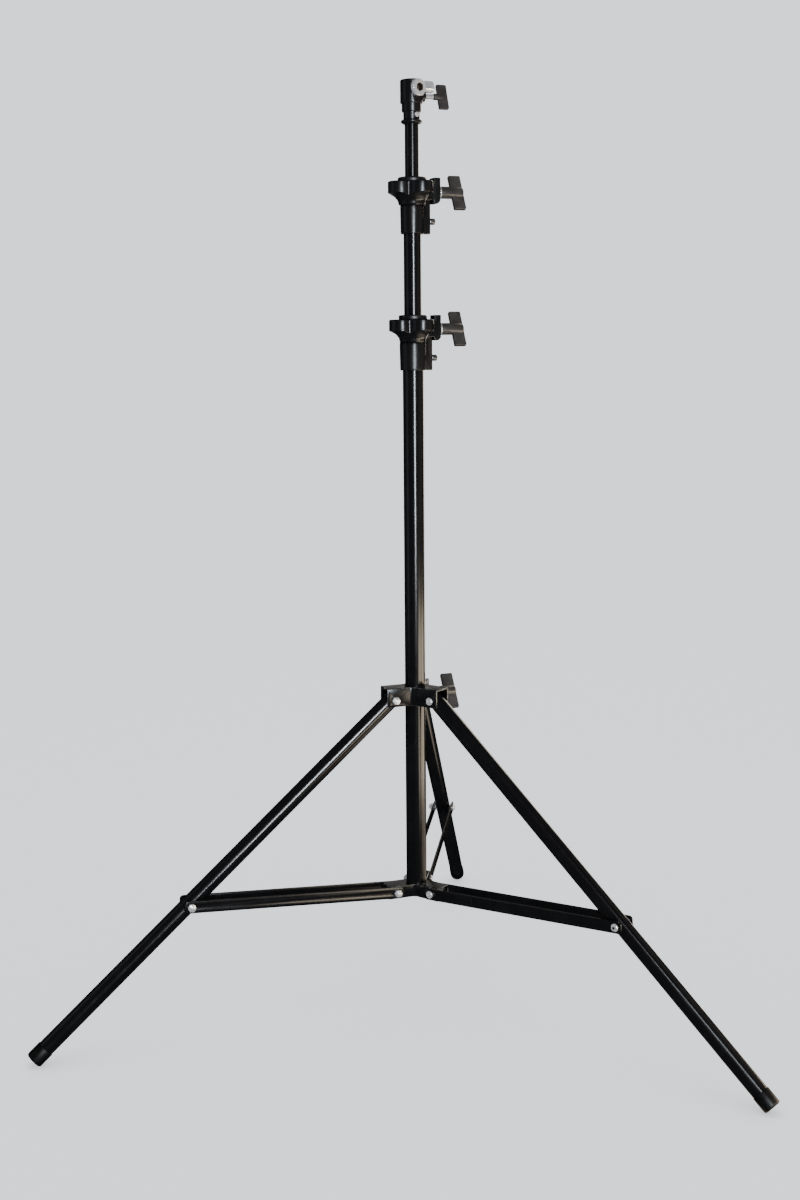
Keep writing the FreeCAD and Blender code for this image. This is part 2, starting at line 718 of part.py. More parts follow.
def bracket_fasteners(shape, height):
    """One fastener at each of a bracket's three pivots."""
    return solids_of(across(shape, a, PIVOT_RADIUS, height) for a in LEG_ANGLES.values())


# Legs and braces, drawn in the plane y = 0 with the mast on the left


def leg_placed(shape, angle):
    """Leg piece drawn down -Z from its pivot, swung out and set on its bracket."""
    tilted = shape.rotated(ORIGIN, V(0, 1, 0), -math.degrees(LEG_TILT))
    return swung(tilted.translated(V(PIVOT_RADIUS, 0, UPPER_PIVOT_Z)), angle)


def cross_hole(diameter, height):
    """Hole across a leg at a distance below its pivot."""
    return Part.makeCylinder(diameter / 2.0, LEG_OD * 2.0, V(0, -LEG_OD, height), V(0, 1, 0))


def leg_tube(angle):
    tube = ring(LEG_OD, LEG_OD - 2.0 * LEG_WALL, -LEG_LENGTH + FOOT_SOLE + SEAT_GAP, LEG_END_ABOVE_PIVOT)
    tube = tube.cut(cross_hole(BOLT_D + 2.0 * PIVOT_GAP, 0.0))
    tube = tube.cut(cross_hole(BOLT_D + 2.0 * PIVOT_GAP, -LEG_TO_BRACE))
    return leg_placed(tube, angle)


def leg_plug(angle):
    """Plastic plug in a leg's upper end, bored for the pivot bolt."""
    plug_d = LEG_OD - 2.0 * LEG_WALL - 2.0 * SEAT_GAP
    plug = cylinder(plug_d, LEG_END_ABOVE_PIVOT - PLUG_LENGTH, LEG_END_ABOVE_PIVOT)
    return leg_placed(plug.cut(cross_hole(BOLT_D + 2.0 * PIVOT_GAP, 0.0)), angle)


def leg_foot(angle):
    """Rubber cap over a leg's lower end."""
    end = -LEG_LENGTH
    top = end + FOOT_SOLE + FOOT_SKIRT
    edge = [(r, end + z) for r, z in FOOT_EDGE]
    cap = turned([(0, end)] + edge + [(FOOT_R, top), (0, top)])
    pocket = cylinder(LEG_OD + 2.0 * SEAT_GAP, end + FOOT_SOLE, top)
    return leg_placed(cap.cut(pocket), angle)


def brace_rise():
    """Angle of a brace above the horizontal, from the leg's lower pivot."""
    drop = PIVOT_SPREAD - LEG_TO_BRACE * math.cos(LEG_TILT)
    return math.degrees(math.asin(drop / BRACE_LENGTH))


def brace_placed(shape, angle):
    """Brace piece drawn along +X from its lower pivot, raised and set on its bracket."""
    raised = shape.rotated(ORIGIN, V(0, 1, 0), -brace_rise())
    return swung(raised.translated(V(PIVOT_RADIUS, 0, LOWER_PIVOT_Z)), angle)


def strip(offset):
    """Flat strip with rounded corners and a hole at each pivot."""
    half = STRIP_WIDTH / 2.0
    bar = block(
        -STRIP_OVERHANG, BRACE_LENGTH + STRIP_OVERHANG,
        offset, offset + STRIP_THICKNESS, -half, half)
    corners = [e for e in bar.Edges if e.BoundBox.YLength > STRIP_THICKNESS - 0.01]
    bar = bar.makeFillet(STRIP_CORNER, corners)
    for along, gap in ((0.0, PIVOT_GAP), (BRACE_LENGTH, SEAT_GAP)):
        hole = Part.makeCylinder(
            BOLT_D / 2.0 + gap, STRIP_THICKNESS, V(along, offset, 0), V(0, 1, 0))
        bar = bar.cut(hole)
    return bar


def brace_strips(angle):
    near = strip(-STRIP_OUTER_OFFSET)
    far = strip(STRIP_INNER_OFFSET)
    return solids_of(brace_placed(s, angle) for s in (near, far))


def brace_washers(angle):
    """Spacer washers between the strips and the leg."""
    inner = LEG_R + RUNNING_GAP
    spacer = ring(BOLT_HEAD_D, BOLT_D + 2.0 * SEAT_GAP, inner, STRIP_INNER_OFFSET)
    pair = []
    for side in (-90, 90):
        turned_spacer = spacer.rotated(ORIGIN, V(1, 0, 0), side)
        pair.append(brace_placed(turned_spacer.translated(V(BRACE_LENGTH, 0, 0)), angle))
    return solids_of(pair)


def brace_studs(angle):
    """Headed studs on which the leg turns, one in each strip."""
    inner = LEG_R + RUNNING_GAP
    head = domed_head(STUD_HEAD_D, BOLT_HEAD_HEIGHT, -STRIP_OUTER_OFFSET)
    stud_body = fused(head, cylinder(BOLT_D, -STRIP_OUTER_OFFSET, -inner))
    near = stud_body.rotated(ORIGIN, V(1, 0, 0), -90).translated(V(BRACE_LENGTH, 0, 0))
    tail = cylinder(BOLT_D, inner, STRIP_OUTER_OFFSET + NUT_HEIGHT + NUT_COLLAR_HEIGHT + BOLT_TAIL)
    far = fused(lock_nut(STRIP_OUTER_OFFSET), tail)
    far = far.rotated(ORIGIN, V(1, 0, 0), -90).translated(V(BRACE_LENGTH, 0, 0))
    return solids_of(brace_placed(s, angle) for s in (near, far))


# Head


def head_body():
    """Stepped socket casting on the top tube."""
    neck_top = HEAD_BODY_Z + HEAD_NECK_HEIGHT
    shoulder_top = neck_top + HEAD_SHOULDER_HEIGHT
    body = turned([
        (0, HEAD_BODY_Z),
        (HEAD_NECK_D / 2.0, HEAD_BODY_Z),
        (HEAD_NECK_D / 2.0, neck_top),
        (HEAD_SHOULDER_D / 2.0 - HEAD_STEP_EDGE, neck_top),
        (HEAD_SHOULDER_D / 2.0, neck_top + HEAD_STEP_EDGE),
        (HEAD_SHOULDER_D / 2.0, shoulder_top),
        (HEAD_D / 2.0 - HEAD_STEP_EDGE, shoulder_top),
        (HEAD_D / 2.0, shoulder_top + HEAD_STEP_EDGE),
        (HEAD_D / 2.0, HEAD_TOP_Z - HEAD_EDGE),
        (HEAD_D / 2.0 - HEAD_EDGE, HEAD_TOP_Z),
        (0, HEAD_TOP_Z),
    ])
    boss = radial(cylinder(HEAD_BOSS_D, 0.0, HEAD_BOSS_FACE), CLAMP_ANGLE, HEAD_TOP_Z - HEAD_CLAMP_BELOW_TOP)
    body = fused(body, boss)
    socket = cylinder(SOCKET_D, HEAD_TOP_Z - SOCKET_DEPTH, HEAD_TOP_Z)
    socket_r = SOCKET_D / 2.0
    lead_in = turned([
        (0, HEAD_TOP_Z - SOCKET_LEAD_IN),
        (socket_r, HEAD_TOP_Z - SOCKET_LEAD_IN),
        (socket_r + SOCKET_LEAD_IN, HEAD_TOP_Z),
        (0, HEAD_TOP_Z),
    ])
    tube_bore = cylinder(RISER_3_OD + 2.0 * SEAT_GAP, HEAD_BODY_Z, RISER_3_TOP_Z + SEAT_GAP)
    stud_hole = cylinder(STUD_D + 2.0 * PIVOT_GAP, 0.0, HEAD_BOSS_FACE)
    screw_hole = cylinder(HEAD_SCREW_D + 2.0 * SEAT_GAP, 0.0, HEAD_NECK_D)
    shank_start = SOCKET_D / 2.0 + SIDE_POCKET_WALL
    shank_hole = cylinder(CROSS_SOCKET_SHANK_D + 2.0 * SEAT_GAP, shank_start - SEAT_GAP, HEAD_D)
    flange_seat = cylinder(CROSS_SOCKET_FLANGE_D + 2.0 * SEAT_GAP, SPOT_FACE, HEAD_D)
    side_hole = cylinder(SIDE_STUD_SHANK_D + 2.0 * SEAT_GAP, shank_start - SEAT_GAP, HEAD_D)
    side_seat = cylinder(SIDE_STUD_D + 2.0 * SEAT_GAP, SPOT_FACE, HEAD_D + HEAD_BOSS_FACE)
    cross_z = HEAD_TOP_Z - CROSS_SOCKET_BELOW_TOP
    stud_z = HEAD_TOP_Z - SIDE_STUD_BELOW_TOP
    return body.cut([
        socket,
        lead_in,
        tube_bore,
        radial(stud_hole, CLAMP_ANGLE, HEAD_TOP_Z - HEAD_CLAMP_BELOW_TOP),
        radial(screw_hole, SIDE_ANGLE, head_screw_z()),
        radial(shank_hole.fuse(flange_seat), SIDE_ANGLE, cross_z),
        radial(side_hole.fuse(side_seat), CLAMP_ANGLE, stud_z),
    ])


def head_screw_z():
    return HEAD_BODY_Z + HEAD_NECK_HEIGHT / 2.0 + HEAD_SCREW_ABOVE_MIDDLE


def head_ring():
    """Stop ring under the head, where it meets the top tube."""
    outer = HEAD_RING_D / 2.0
    inner = RISER_3_OD / 2.0 + SEAT_GAP
    return turned([
        (inner, HEAD_Z),
        (outer - HEAD_RING_BEVEL, HEAD_Z),
        (outer, HEAD_Z + HEAD_RING_BEVEL_BELOW),
        (outer, HEAD_Z + HEAD_RING_HEIGHT - HEAD_RING_BEVEL_ABOVE),
        (outer - HEAD_RING_BEVEL, HEAD_Z + HEAD_RING_HEIGHT),
        (inner, HEAD_Z + HEAD_RING_HEIGHT),
    ])


def head_screw():
    """Bright screw that fixes the head on the top tube."""
    face = HEAD_NECK_D / 2.0
    head_r = HEAD_SCREW_HEAD_D / 2.0
    start = RISER_3_OD / 2.0 + SLIDE_GAP
    end = face + HEAD_SCREW_HEAD_LENGTH
    screw = turned([
        (0, start),
        (HEAD_SCREW_D / 2.0, start),
        (HEAD_SCREW_D / 2.0, face),
        (head_r, face),
        (head_r, end - SCREW_CHAMFER),
        (head_r - SCREW_CHAMFER, end),
        (0, end),
    ])
    return radial(screw, SIDE_ANGLE, head_screw_z())


def cross_socket():
    """Bright bush with a six sided socket in the side of the head."""
    face = CROSS_SOCKET_FACE
    start = SOCKET_D / 2.0 + SIDE_POCKET_WALL
    flange_r = CROSS_SOCKET_FLANGE_D / 2.0
    bush = turned([
        (0, start),
        (CROSS_SOCKET_SHANK_D / 2.0, start),
        (CROSS_SOCKET_SHANK_D / 2.0, SPOT_FACE + SEAT_GAP),
        (flange_r, SPOT_FACE + SEAT_GAP),
        (flange_r, face - CROSS_SOCKET_EDGE),
        (flange_r - CROSS_SOCKET_EDGE, face),
        (0, face),
    ])
    bush = bush.cut(hexagon(CROSS_SOCKET_FLATS, start + CROSS_SOCKET_FLOOR, face))
    return radial(bush, SIDE_ANGLE, HEAD_TOP_Z - CROSS_SOCKET_BELOW_TOP)


def side_stud():
    """Bright round stud beside the cross socket, above the clamp handle."""
    start = SOCKET_D / 2.0 + SIDE_POCKET_WALL
    radius = SIDE_STUD_D / 2.0
    edge = rounded_edge(radius, SIDE_STUD_DOME)
    bar = turned([
        (0, start),
        (SIDE_STUD_SHANK_D / 2.0, start),
        (SIDE_STUD_SHANK_D / 2.0, SPOT_FACE + SEAT_GAP),
        (radius, SPOT_FACE + SEAT_GAP),
    ] + [(r, SIDE_STUD_FACE - z) for r, z in reversed(edge)] + [
        (0, SIDE_STUD_FACE),
    ])
    return radial(bar, CLAMP_ANGLE, HEAD_TOP_Z - SIDE_STUD_BELOW_TOP)


def head_clamp():
    """Small handle and stud that lock a spigot in the head."""
    height = HEAD_TOP_Z - HEAD_CLAMP_BELOW_TOP
    grip = handle(
        HEAD_HUB_D, HEAD_HUB_START, HEAD_HANDLE_REACH, HEAD_BLADE_LENGTH,
        HEAD_BLADE_ROOT, HEAD_BLADE_TIP, HEAD_BLADE_THICKNESS,
        HEAD_STUD_IN_HUB, HEAD_HANDLE_TURN, height,
    )
    tip = SOCKET_D / 2.0 + HEAD_STUD_STAND_OFF
    return {
        "head_handle": grip,
        "head_stud": stud(tip, HEAD_HUB_START, HEAD_STUD_IN_HUB, height),
    }


# Assembly


def build():
    """Every sub-part by name, about the mast axis."""
    parts = {}
    base_bore = BASE_TUBE_OD - 2.0 * TUBE_WALL
    riser_bore = RISER_2_OD - 2.0 * TUBE_WALL
    collar_1_top = COLLAR_1_Z + COLLAR_HEIGHT
    collar_2_top = COLLAR_2_Z + COLLAR_HEIGHT

    parts["base_tube"] = base_tube()
    parts["base_plug"] = base_plug()
    parts["riser_2_tube"] = riser_tube(RISER_2_OD, RISER_2_TOP_Z, RISER_2_LENGTH)
    parts["riser_2_guide"] = riser_guide(RISER_2_OD, base_bore, RISER_2_TOP_Z - RISER_2_LENGTH)
    parts["riser_3_tube"] = riser_tube(RISER_3_OD, RISER_3_TOP_Z, RISER_3_LENGTH)
    parts["riser_3_guide"] = riser_guide(RISER_3_OD, riser_bore, RISER_3_TOP_Z - RISER_3_LENGTH)

    parts["collar_1"] = collar(COLLAR_1_Z, COLLAR_1_SLEEVE_D, BASE_TUBE_OD, RISER_2_OD)
    parts["collar_1_bush"] = collar_bush(collar_1_top, RISER_2_OD)
    parts["collar_1_shoe"] = clamp_shoe(RISER_2_OD, collar_1_top - CLAMP_AXIS_BELOW_TOP)
    parts["collar_1_screw"] = collar_screw(COLLAR_1_Z, COLLAR_1_SLEEVE_D, BASE_TUBE_OD)
    parts["collar_2"] = collar(COLLAR_2_Z, COLLAR_2_SLEEVE_D, RISER_2_OD, RISER_3_OD)
    parts["collar_2_bush"] = collar_bush(collar_2_top, RISER_3_OD)
    parts["collar_2_shoe"] = clamp_shoe(RISER_3_OD, collar_2_top - CLAMP_AXIS_BELOW_TOP)
    parts["collar_2_screw"] = collar_screw(COLLAR_2_Z, COLLAR_2_SLEEVE_D, RISER_2_OD)

    axis_1 = collar_1_top - CLAMP_AXIS_BELOW_TOP
    axis_2 = collar_2_top - CLAMP_AXIS_BELOW_TOP
    parts.update(clamp_set("clamp_1", CLAMP_BLOCK_FACE, RISER_2_OD, COLLAR_HANDLE_TURN, axis_1))
    parts.update(clamp_set("clamp_2", CLAMP_BLOCK_FACE, RISER_3_OD, COLLAR_HANDLE_TURN, axis_2))
    parts.update(clamp_set(
        "slider_clamp", SLIDER_BOSS_FACE, BASE_TUBE_OD, SLIDER_HANDLE_TURN, SLIDER_CLAMP_Z))

    parts["head_body"] = head_body()
    parts["head_ring"] = head_ring()
    parts["head_screw"] = head_screw()
    parts["cross_socket"] = cross_socket()
    parts["side_stud"] = side_stud()
    parts.update(head_clamp())

    parts["lower_bracket"] = lower_bracket()
    parts["lower_bracket_screw"] = lower_bracket_screw()
    lower_grip = STRIP_OUTER_OFFSET + RUNNING_GAP
    parts["lower_pivot_bolts"] = bracket_fasteners(pivot_bolt(lower_grip), LOWER_PIVOT_Z)
    parts["lower_pivot_nuts"] = bracket_fasteners(pivot_nut(lower_grip), LOWER_PIVOT_Z)

    parts["slider_bracket"] = slider_bracket()
    parts["slider_bush"] = slider_bush()
    parts["slider_shoe"] = clamp_shoe(BASE_TUBE_OD, SLIDER_CLAMP_Z)
    parts["slider_pivot_bolts"] = bracket_fasteners(pivot_bolt(EAR_HALF_UPPER), UPPER_PIVOT_Z)
    parts["slider_pivot_nuts"] = bracket_fasteners(pivot_nut(EAR_HALF_UPPER), UPPER_PIVOT_Z)

    for side, angle in LEG_ANGLES.items():
        parts["leg_" + side + "_tube"] = leg_tube(angle)
        parts["leg_" + side + "_plug"] = leg_plug(angle)
        parts["leg_" + side + "_foot"] = leg_foot(angle)
        parts["brace_" + side + "_strips"] = brace_strips(angle)
        parts["brace_" + side + "_washers"] = brace_washers(angle)
        parts["brace_" + side + "_studs"] = brace_studs(angle)
    return parts


def foot_reach():
    """Largest distance of a foot from the mast axis, measured level."""
    return max(foot_radius(z) + r * math.cos(LEG_TILT) for r, z in FOOT_EDGE)


def foot_radius(height):
    """Distance from the mast axis of the leg's axis, at a height above the leg's end."""
    return PIVOT_RADIUS + (LEG_LENGTH - height) * math.sin(LEG_TILT)


def footprint_shift():
    """Distance from the mast axis to the middle of the footprint, along +Y."""
    front = 0.0
    for name in ("left", "right"):
        angle = math.radians(LEG_ANGLES[name])
        front = min(front, front_edge(angle))
    return (foot_reach() + front) / 2.0


def front_edge(angle):
    """Lowest Y of a front foot, whose end is a rounded disc across the leg."""
    spread = math.hypot(math.cos(LEG_TILT) * math.sin(angle), math.cos(angle))
    return min(foot_radius(z) * math.sin(angle) - r * spread for r, z in FOOT_EDGE)


def main():
    os.makedirs("parts", exist_ok=True)
    shift = V(0, -footprint_shift(), 0)
    for name, shape in build().items():
        shape.translated(shift).exportStep("parts/" + name + ".step")
    print("mast axis at Y", round(shift.y, 3))
    print("leg angle", round(math.degrees(LEG_TILT), 3), "brace rise", round(brace_rise(), 3))
    print("pivots", round(LOWER_PIVOT_Z, 3), round(UPPER_PIVOT_Z, 3))
    print("collars", round(COLLAR_1_Z, 3), round(COLLAR_2_Z, 3))
    print("head", round(HEAD_Z, 3), round(HEAD_TOP_Z, 3))


main()
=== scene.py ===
"""Looks of the telescopic lighting stand, laid out as an add-on and run as a script."""
import json
import math

import bpy
from mathutils import Matrix, Vector


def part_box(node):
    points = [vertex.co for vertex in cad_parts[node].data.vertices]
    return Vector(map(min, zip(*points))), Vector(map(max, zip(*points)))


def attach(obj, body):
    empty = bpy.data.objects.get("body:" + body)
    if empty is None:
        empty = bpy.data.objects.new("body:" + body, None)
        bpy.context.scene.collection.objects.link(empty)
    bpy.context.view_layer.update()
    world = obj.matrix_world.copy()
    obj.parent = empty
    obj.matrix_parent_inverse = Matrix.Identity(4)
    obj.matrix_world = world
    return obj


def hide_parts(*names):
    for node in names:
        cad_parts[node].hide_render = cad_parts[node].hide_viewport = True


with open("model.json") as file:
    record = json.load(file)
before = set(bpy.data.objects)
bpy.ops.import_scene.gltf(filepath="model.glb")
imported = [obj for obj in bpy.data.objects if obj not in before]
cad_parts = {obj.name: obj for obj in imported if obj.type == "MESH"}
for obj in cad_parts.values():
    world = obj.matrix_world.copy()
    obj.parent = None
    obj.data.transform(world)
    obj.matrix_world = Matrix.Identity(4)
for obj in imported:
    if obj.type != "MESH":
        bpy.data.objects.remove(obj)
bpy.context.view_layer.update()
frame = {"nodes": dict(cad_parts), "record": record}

bl_info = {
    "name": "Telescopic Lighting Stand",
    "version": (1, 0, 0),
    "blender": (4, 5, 0),
    "location": "View3D > Sidebar > Light Stand",
    "description": "Dresses a folding, telescopic lighting stand piece by piece",
    "category": "Object",
}

MM = 0.001
SIDES = ("rear", "left", "right")
RECORD = frame["record"]
JOINTS = {j["name"]: j for j in RECORD["behaviour"]["joints"]}

# Where things are, read from the frame
tube_low, tube_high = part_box("base_tube")
MAST = Vector(((tube_low.x + tube_high.x) / 2, (tube_low.y + tube_high.y) / 2, 0.0))
CLAMP_ANGLE = math.atan2(JOINTS["clamp_1_turn"]["axis"][1], JOINTS["clamp_1_turn"]["axis"][0])

# Camera of the photograph, in an 800 by 1200 frame
FRAME_WIDTH = 800
FRAME_HEIGHT = 1200
FOCAL_PIXELS = 1572.5
CENTRE_X = 371.7
CENTRE_Y = 571.7
CAMERA_HEIGHT = 1.134
CAMERA_DISTANCE = 2.647
CAMERA_PITCH = -0.1374
CAMERA_ROLL = -0.0104
CAMERA_YAW = -0.0275
REAR_LEG_TURN = 0.133
SENSOR = 36.0

# How strongly the black paint reflects, and how metallic the bright plate is
PAINT_SPECULAR = 0.35
METAL_SHARE = 0.6

# Points closer than this are one, and faces that lean by fewer degrees are one flat
MERGE_DISTANCE = 1e-6
FLAT_ANGLE = 0.3

# How squarely an edge has to follow an axis to count as running along it
ALONG_AXIS = 0.99

# Rounding of small fasteners, and how far their sockets' walls lie from their own axis
NUT_EDGE = 0.0003
BOLT_SOCKET_REACH = 0.0029
CROSS_SOCKET_REACH = 0.0074
SCREW_SOCKET_REACH = 0.0032

# Material slots of a softened piece
FACES = 0
EDGES = 1
HOLLOWS = 2


# Small helpers


def deselect():
    if bpy.context.object and bpy.context.object.mode != "OBJECT":
        bpy.ops.object.mode_set(mode="OBJECT")
    bpy.ops.object.select_all(action="DESELECT")


def pick(piece):
    """Makes one object the only selected and active one."""
    deselect()
    piece.select_set(True)
    bpy.context.view_layer.objects.active = piece


def apply_modifier(piece, kind, **settings):
    """Adds one modifier with its settings and applies it."""
    pick(piece)
    modifier = piece.modifiers.new(kind.lower(), kind)
    for name, value in settings.items():
        setattr(modifier, name, value)
    bpy.ops.object.modifier_apply(modifier=modifier.name)


def round_edges(piece, width, segments=2, angle=32.0):
    apply_modifier(
        piece, "BEVEL", width=width, segments=segments, limit_method="ANGLE",
        angle_limit=math.radians(angle), harden_normals=False)


def smooth(piece, angle=38.0):
    pick(piece)
    bpy.ops.object.shade_smooth_by_angle(angle=math.radians(angle))


def set_place(piece, matrix):
    """Moves a piece and puts its place into its mesh."""
    piece.matrix_world = matrix
    pick(piece)
    bpy.ops.object.transform_apply(location=True, rotation=True, scale=True)


def outward(angle, height, turn=0.0):
    """Place of a piece drawn along +Z, aimed out from the mast axis at a height."""
    lay = Matrix.Rotation(math.radians(90.0), 4, "Y")
    roll = Matrix.Rotation(-turn, 4, "X")
    up = Matrix.Translation((0.0, 0.0, height))
    return Matrix.Translation(MAST) @ Matrix.Rotation(angle, 4, "Z") @ up @ roll @ lay


def close_mesh(piece):
    """Merges doubled points and points every face outwards."""
    pick(piece)
    bpy.ops.object.mode_set(mode="EDIT")
    bpy.ops.mesh.select_all(action="SELECT")
    bpy.ops.mesh.remove_doubles(threshold=MERGE_DISTANCE)
    bpy.ops.mesh.normals_make_consistent(inside=False)
    bpy.ops.object.mode_set(mode="OBJECT")


def turned(name, rings, sides):
    """Round piece along Z, pulled up ring by ring from (radius, height) pairs in millimetres."""
    deselect()
    radius, height = rings[0]
    bpy.ops.mesh.primitive_circle_add(vertices=sides, radius=radius * MM, fill_type="NGON")
    piece = bpy.context.object
    piece.name = name
    bpy.ops.object.mode_set(mode="EDIT")
    bpy.ops.mesh.select_all(action="SELECT")
    bpy.ops.transform.translate(value=(0.0, 0.0, height * MM))
    for next_radius, next_height in rings[1:]:
        rise = (next_height - height) * MM
        bpy.ops.mesh.extrude_region_move(TRANSFORM_OT_translate={"value": (0.0, 0.0, rise)})
        scale = next_radius / radius
        bpy.ops.transform.resize(value=(scale, scale, 1.0))
        radius, height = next_radius, next_height
    bpy.ops.object.mode_set(mode="OBJECT")
    close_mesh(piece)
    return piece


def bar(name, size, centre=(0.0, 0.0, 0.0)):
    """Rectangular bar in millimetres."""
    deselect()
    bpy.ops.mesh.primitive_cube_add(size=1.0)
    piece = bpy.context.object
    piece.name = name
    piece.scale = [s * MM for s in size]
    piece.location = [c * MM for c in centre]
    bpy.ops.object.transform_apply(location=True, rotation=True, scale=True)
    return piece


def fuse(piece, other):
    """Joins a second solid to the first, and deletes the second."""
    apply_modifier(piece, "BOOLEAN", object=other, operation="UNION", solver="EXACT")
    mesh = other.data
    bpy.data.objects.remove(other)
    bpy.data.meshes.remove(mesh)


def round_corners(piece, width, axis, segments=5):
    """Rounds a bar's edges that run along one axis."""
    pick(piece)
    bpy.ops.object.mode_set(mode="EDIT")
    bpy.ops.mesh.select_all(action="DESELECT")
    bpy.ops.object.mode_set(mode="OBJECT")
    for edge in piece.data.edges:
        ends = [piece.data.vertices[i].co for i in edge.vertices]
        run = (ends[1] - ends[0]).normalized()
        edge.select = abs(run[axis]) > ALONG_AXIS
    bpy.ops.object.mode_set(mode="EDIT")
    bpy.ops.mesh.select_mode(type="EDGE")
    bpy.ops.mesh.bevel(offset=width * MM, segments=segments, affect="EDGES")
    bpy.ops.object.mode_set(mode="OBJECT")


def copy_of(piece, name):
    """Separate copy with a mesh of its own."""
    twin = piece.copy()
    twin.data = piece.data.copy()
    twin.name = name
    for key in list(twin.keys()):
        del twin[key]
    twin.parent = None
    bpy.context.collection.objects.link(twin)
    return twin


def softened(node, name, width, segments=2, angle=32.0):
    """Copy of a CAD node with its loose triangles merged and its edges rounded."""
    piece = copy_of(frame["nodes"][node], name)
    piece.data.materials.clear()
    piece.data.materials.append(None)
    piece.data.materials.append(None)
    pick(piece)
    if piece.data.has_custom_normals:
        bpy.ops.mesh.customdata_custom_splitnormals_clear()
    bpy.ops.object.mode_set(mode="EDIT")
    bpy.ops.mesh.select_all(action="SELECT")
    bpy.ops.mesh.remove_doubles(threshold=MERGE_DISTANCE)
    bpy.ops.mesh.dissolve_limited(angle_limit=math.radians(FLAT_ANGLE))
    bpy.ops.mesh.normals_make_consistent(inside=False)
    bpy.ops.object.mode_set(mode="OBJECT")
    for face in piece.data.polygons:
        face.material_index = FACES
    apply_modifier(
        piece, "BEVEL", width=width, segments=segments, limit_method="ANGLE",
        angle_limit=math.radians(angle), use_clamp_overlap=False, material=EDGES)
    smooth(piece)
    return piece


def finish_two(piece, face_material, edge_material, body, slot, *nodes):
    """As finish_piece, with a second material on the rounded edges."""
    piece.data.materials[FACES] = face_material
    piece.data.materials[EDGES] = edge_material
    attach(piece, body)
    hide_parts(*nodes)
    return piece


def islands(mesh):
    """Faces of a mesh, sorted into its separate parts."""
    group = list(range(len(mesh.vertices)))

    def root(index):
        while group[index] != index:
            group[index] = group[group[index]]
            index = group[index]
        return index

    for edge in mesh.edges:
        group[root(edge.vertices[0])] = root(edge.vertices[1])
    parts = {}
    for face in mesh.polygons:
        parts.setdefault(root(face.vertices[0]), []).append(face)
    return list(parts.values())


def darken_hollows(piece, reach, radial):
    """Faces that lie wholly near a part's own axis, as a socket's walls do, get a painted shade in place
    of the shade inside the hollow.
    The axis runs out from the mast, or else level and square to that."""
    # Painted shade: a dark brown metal on the socket walls, standing in for the shade inside the socket
    piece.data.materials.append(MATERIALS["recess"])
    vertices = piece.data.vertices
    for part in islands(piece.data):
        points = [vertices[i].co for face in part for i in face.vertices]
        out = sum(points, Vector()) / len(points) - MAST
        out.z = 0.0
        out.normalize()
        across = Vector((-out.y, out.x, 0.0))
        middle = Vector()
        for line in (out, across, Vector((0.0, 0.0, 1.0))):
            spans = [p.dot(line) for p in points]
            middle += line * (min(spans) + max(spans)) / 2.0
        axis = out if radial else across
        for face in part:
            gaps = [vertices[i].co - middle for i in face.vertices]
            if all((gap - axis * gap.dot(axis)).length < reach for gap in gaps):
                face.material_index = HOLLOWS


def span_along(node, axis, origin):
    """Nearest and furthest reach of a CAD node along an axis, in millimetres."""
    reaches = [(v.co - origin).dot(axis) for v in frame["nodes"][node].data.vertices]
    return min(reaches) / MM, max(reaches) / MM


def joined(pieces, name):
    """Several solids kept together as one object."""
    deselect()
    for piece in pieces:
        piece.select_set(True)
    bpy.context.view_layer.objects.active = pieces[0]
    bpy.ops.object.join()
    result = bpy.context.object
    result.name = name
    return result


def finish_piece(piece, material, body, slot, *nodes):
    """Gives a finished piece its material and body, and hides the CAD nodes it stands for."""
    piece.data.materials.clear()
    piece.data.materials.append(material)
    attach(piece, body)
    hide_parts(*nodes)
    return piece


def paint_node(node, material):
    """Puts a material on a CAD node."""
    obj = frame["nodes"][node]
    for entry in obj.material_slots:
        entry.material = material


# Materials


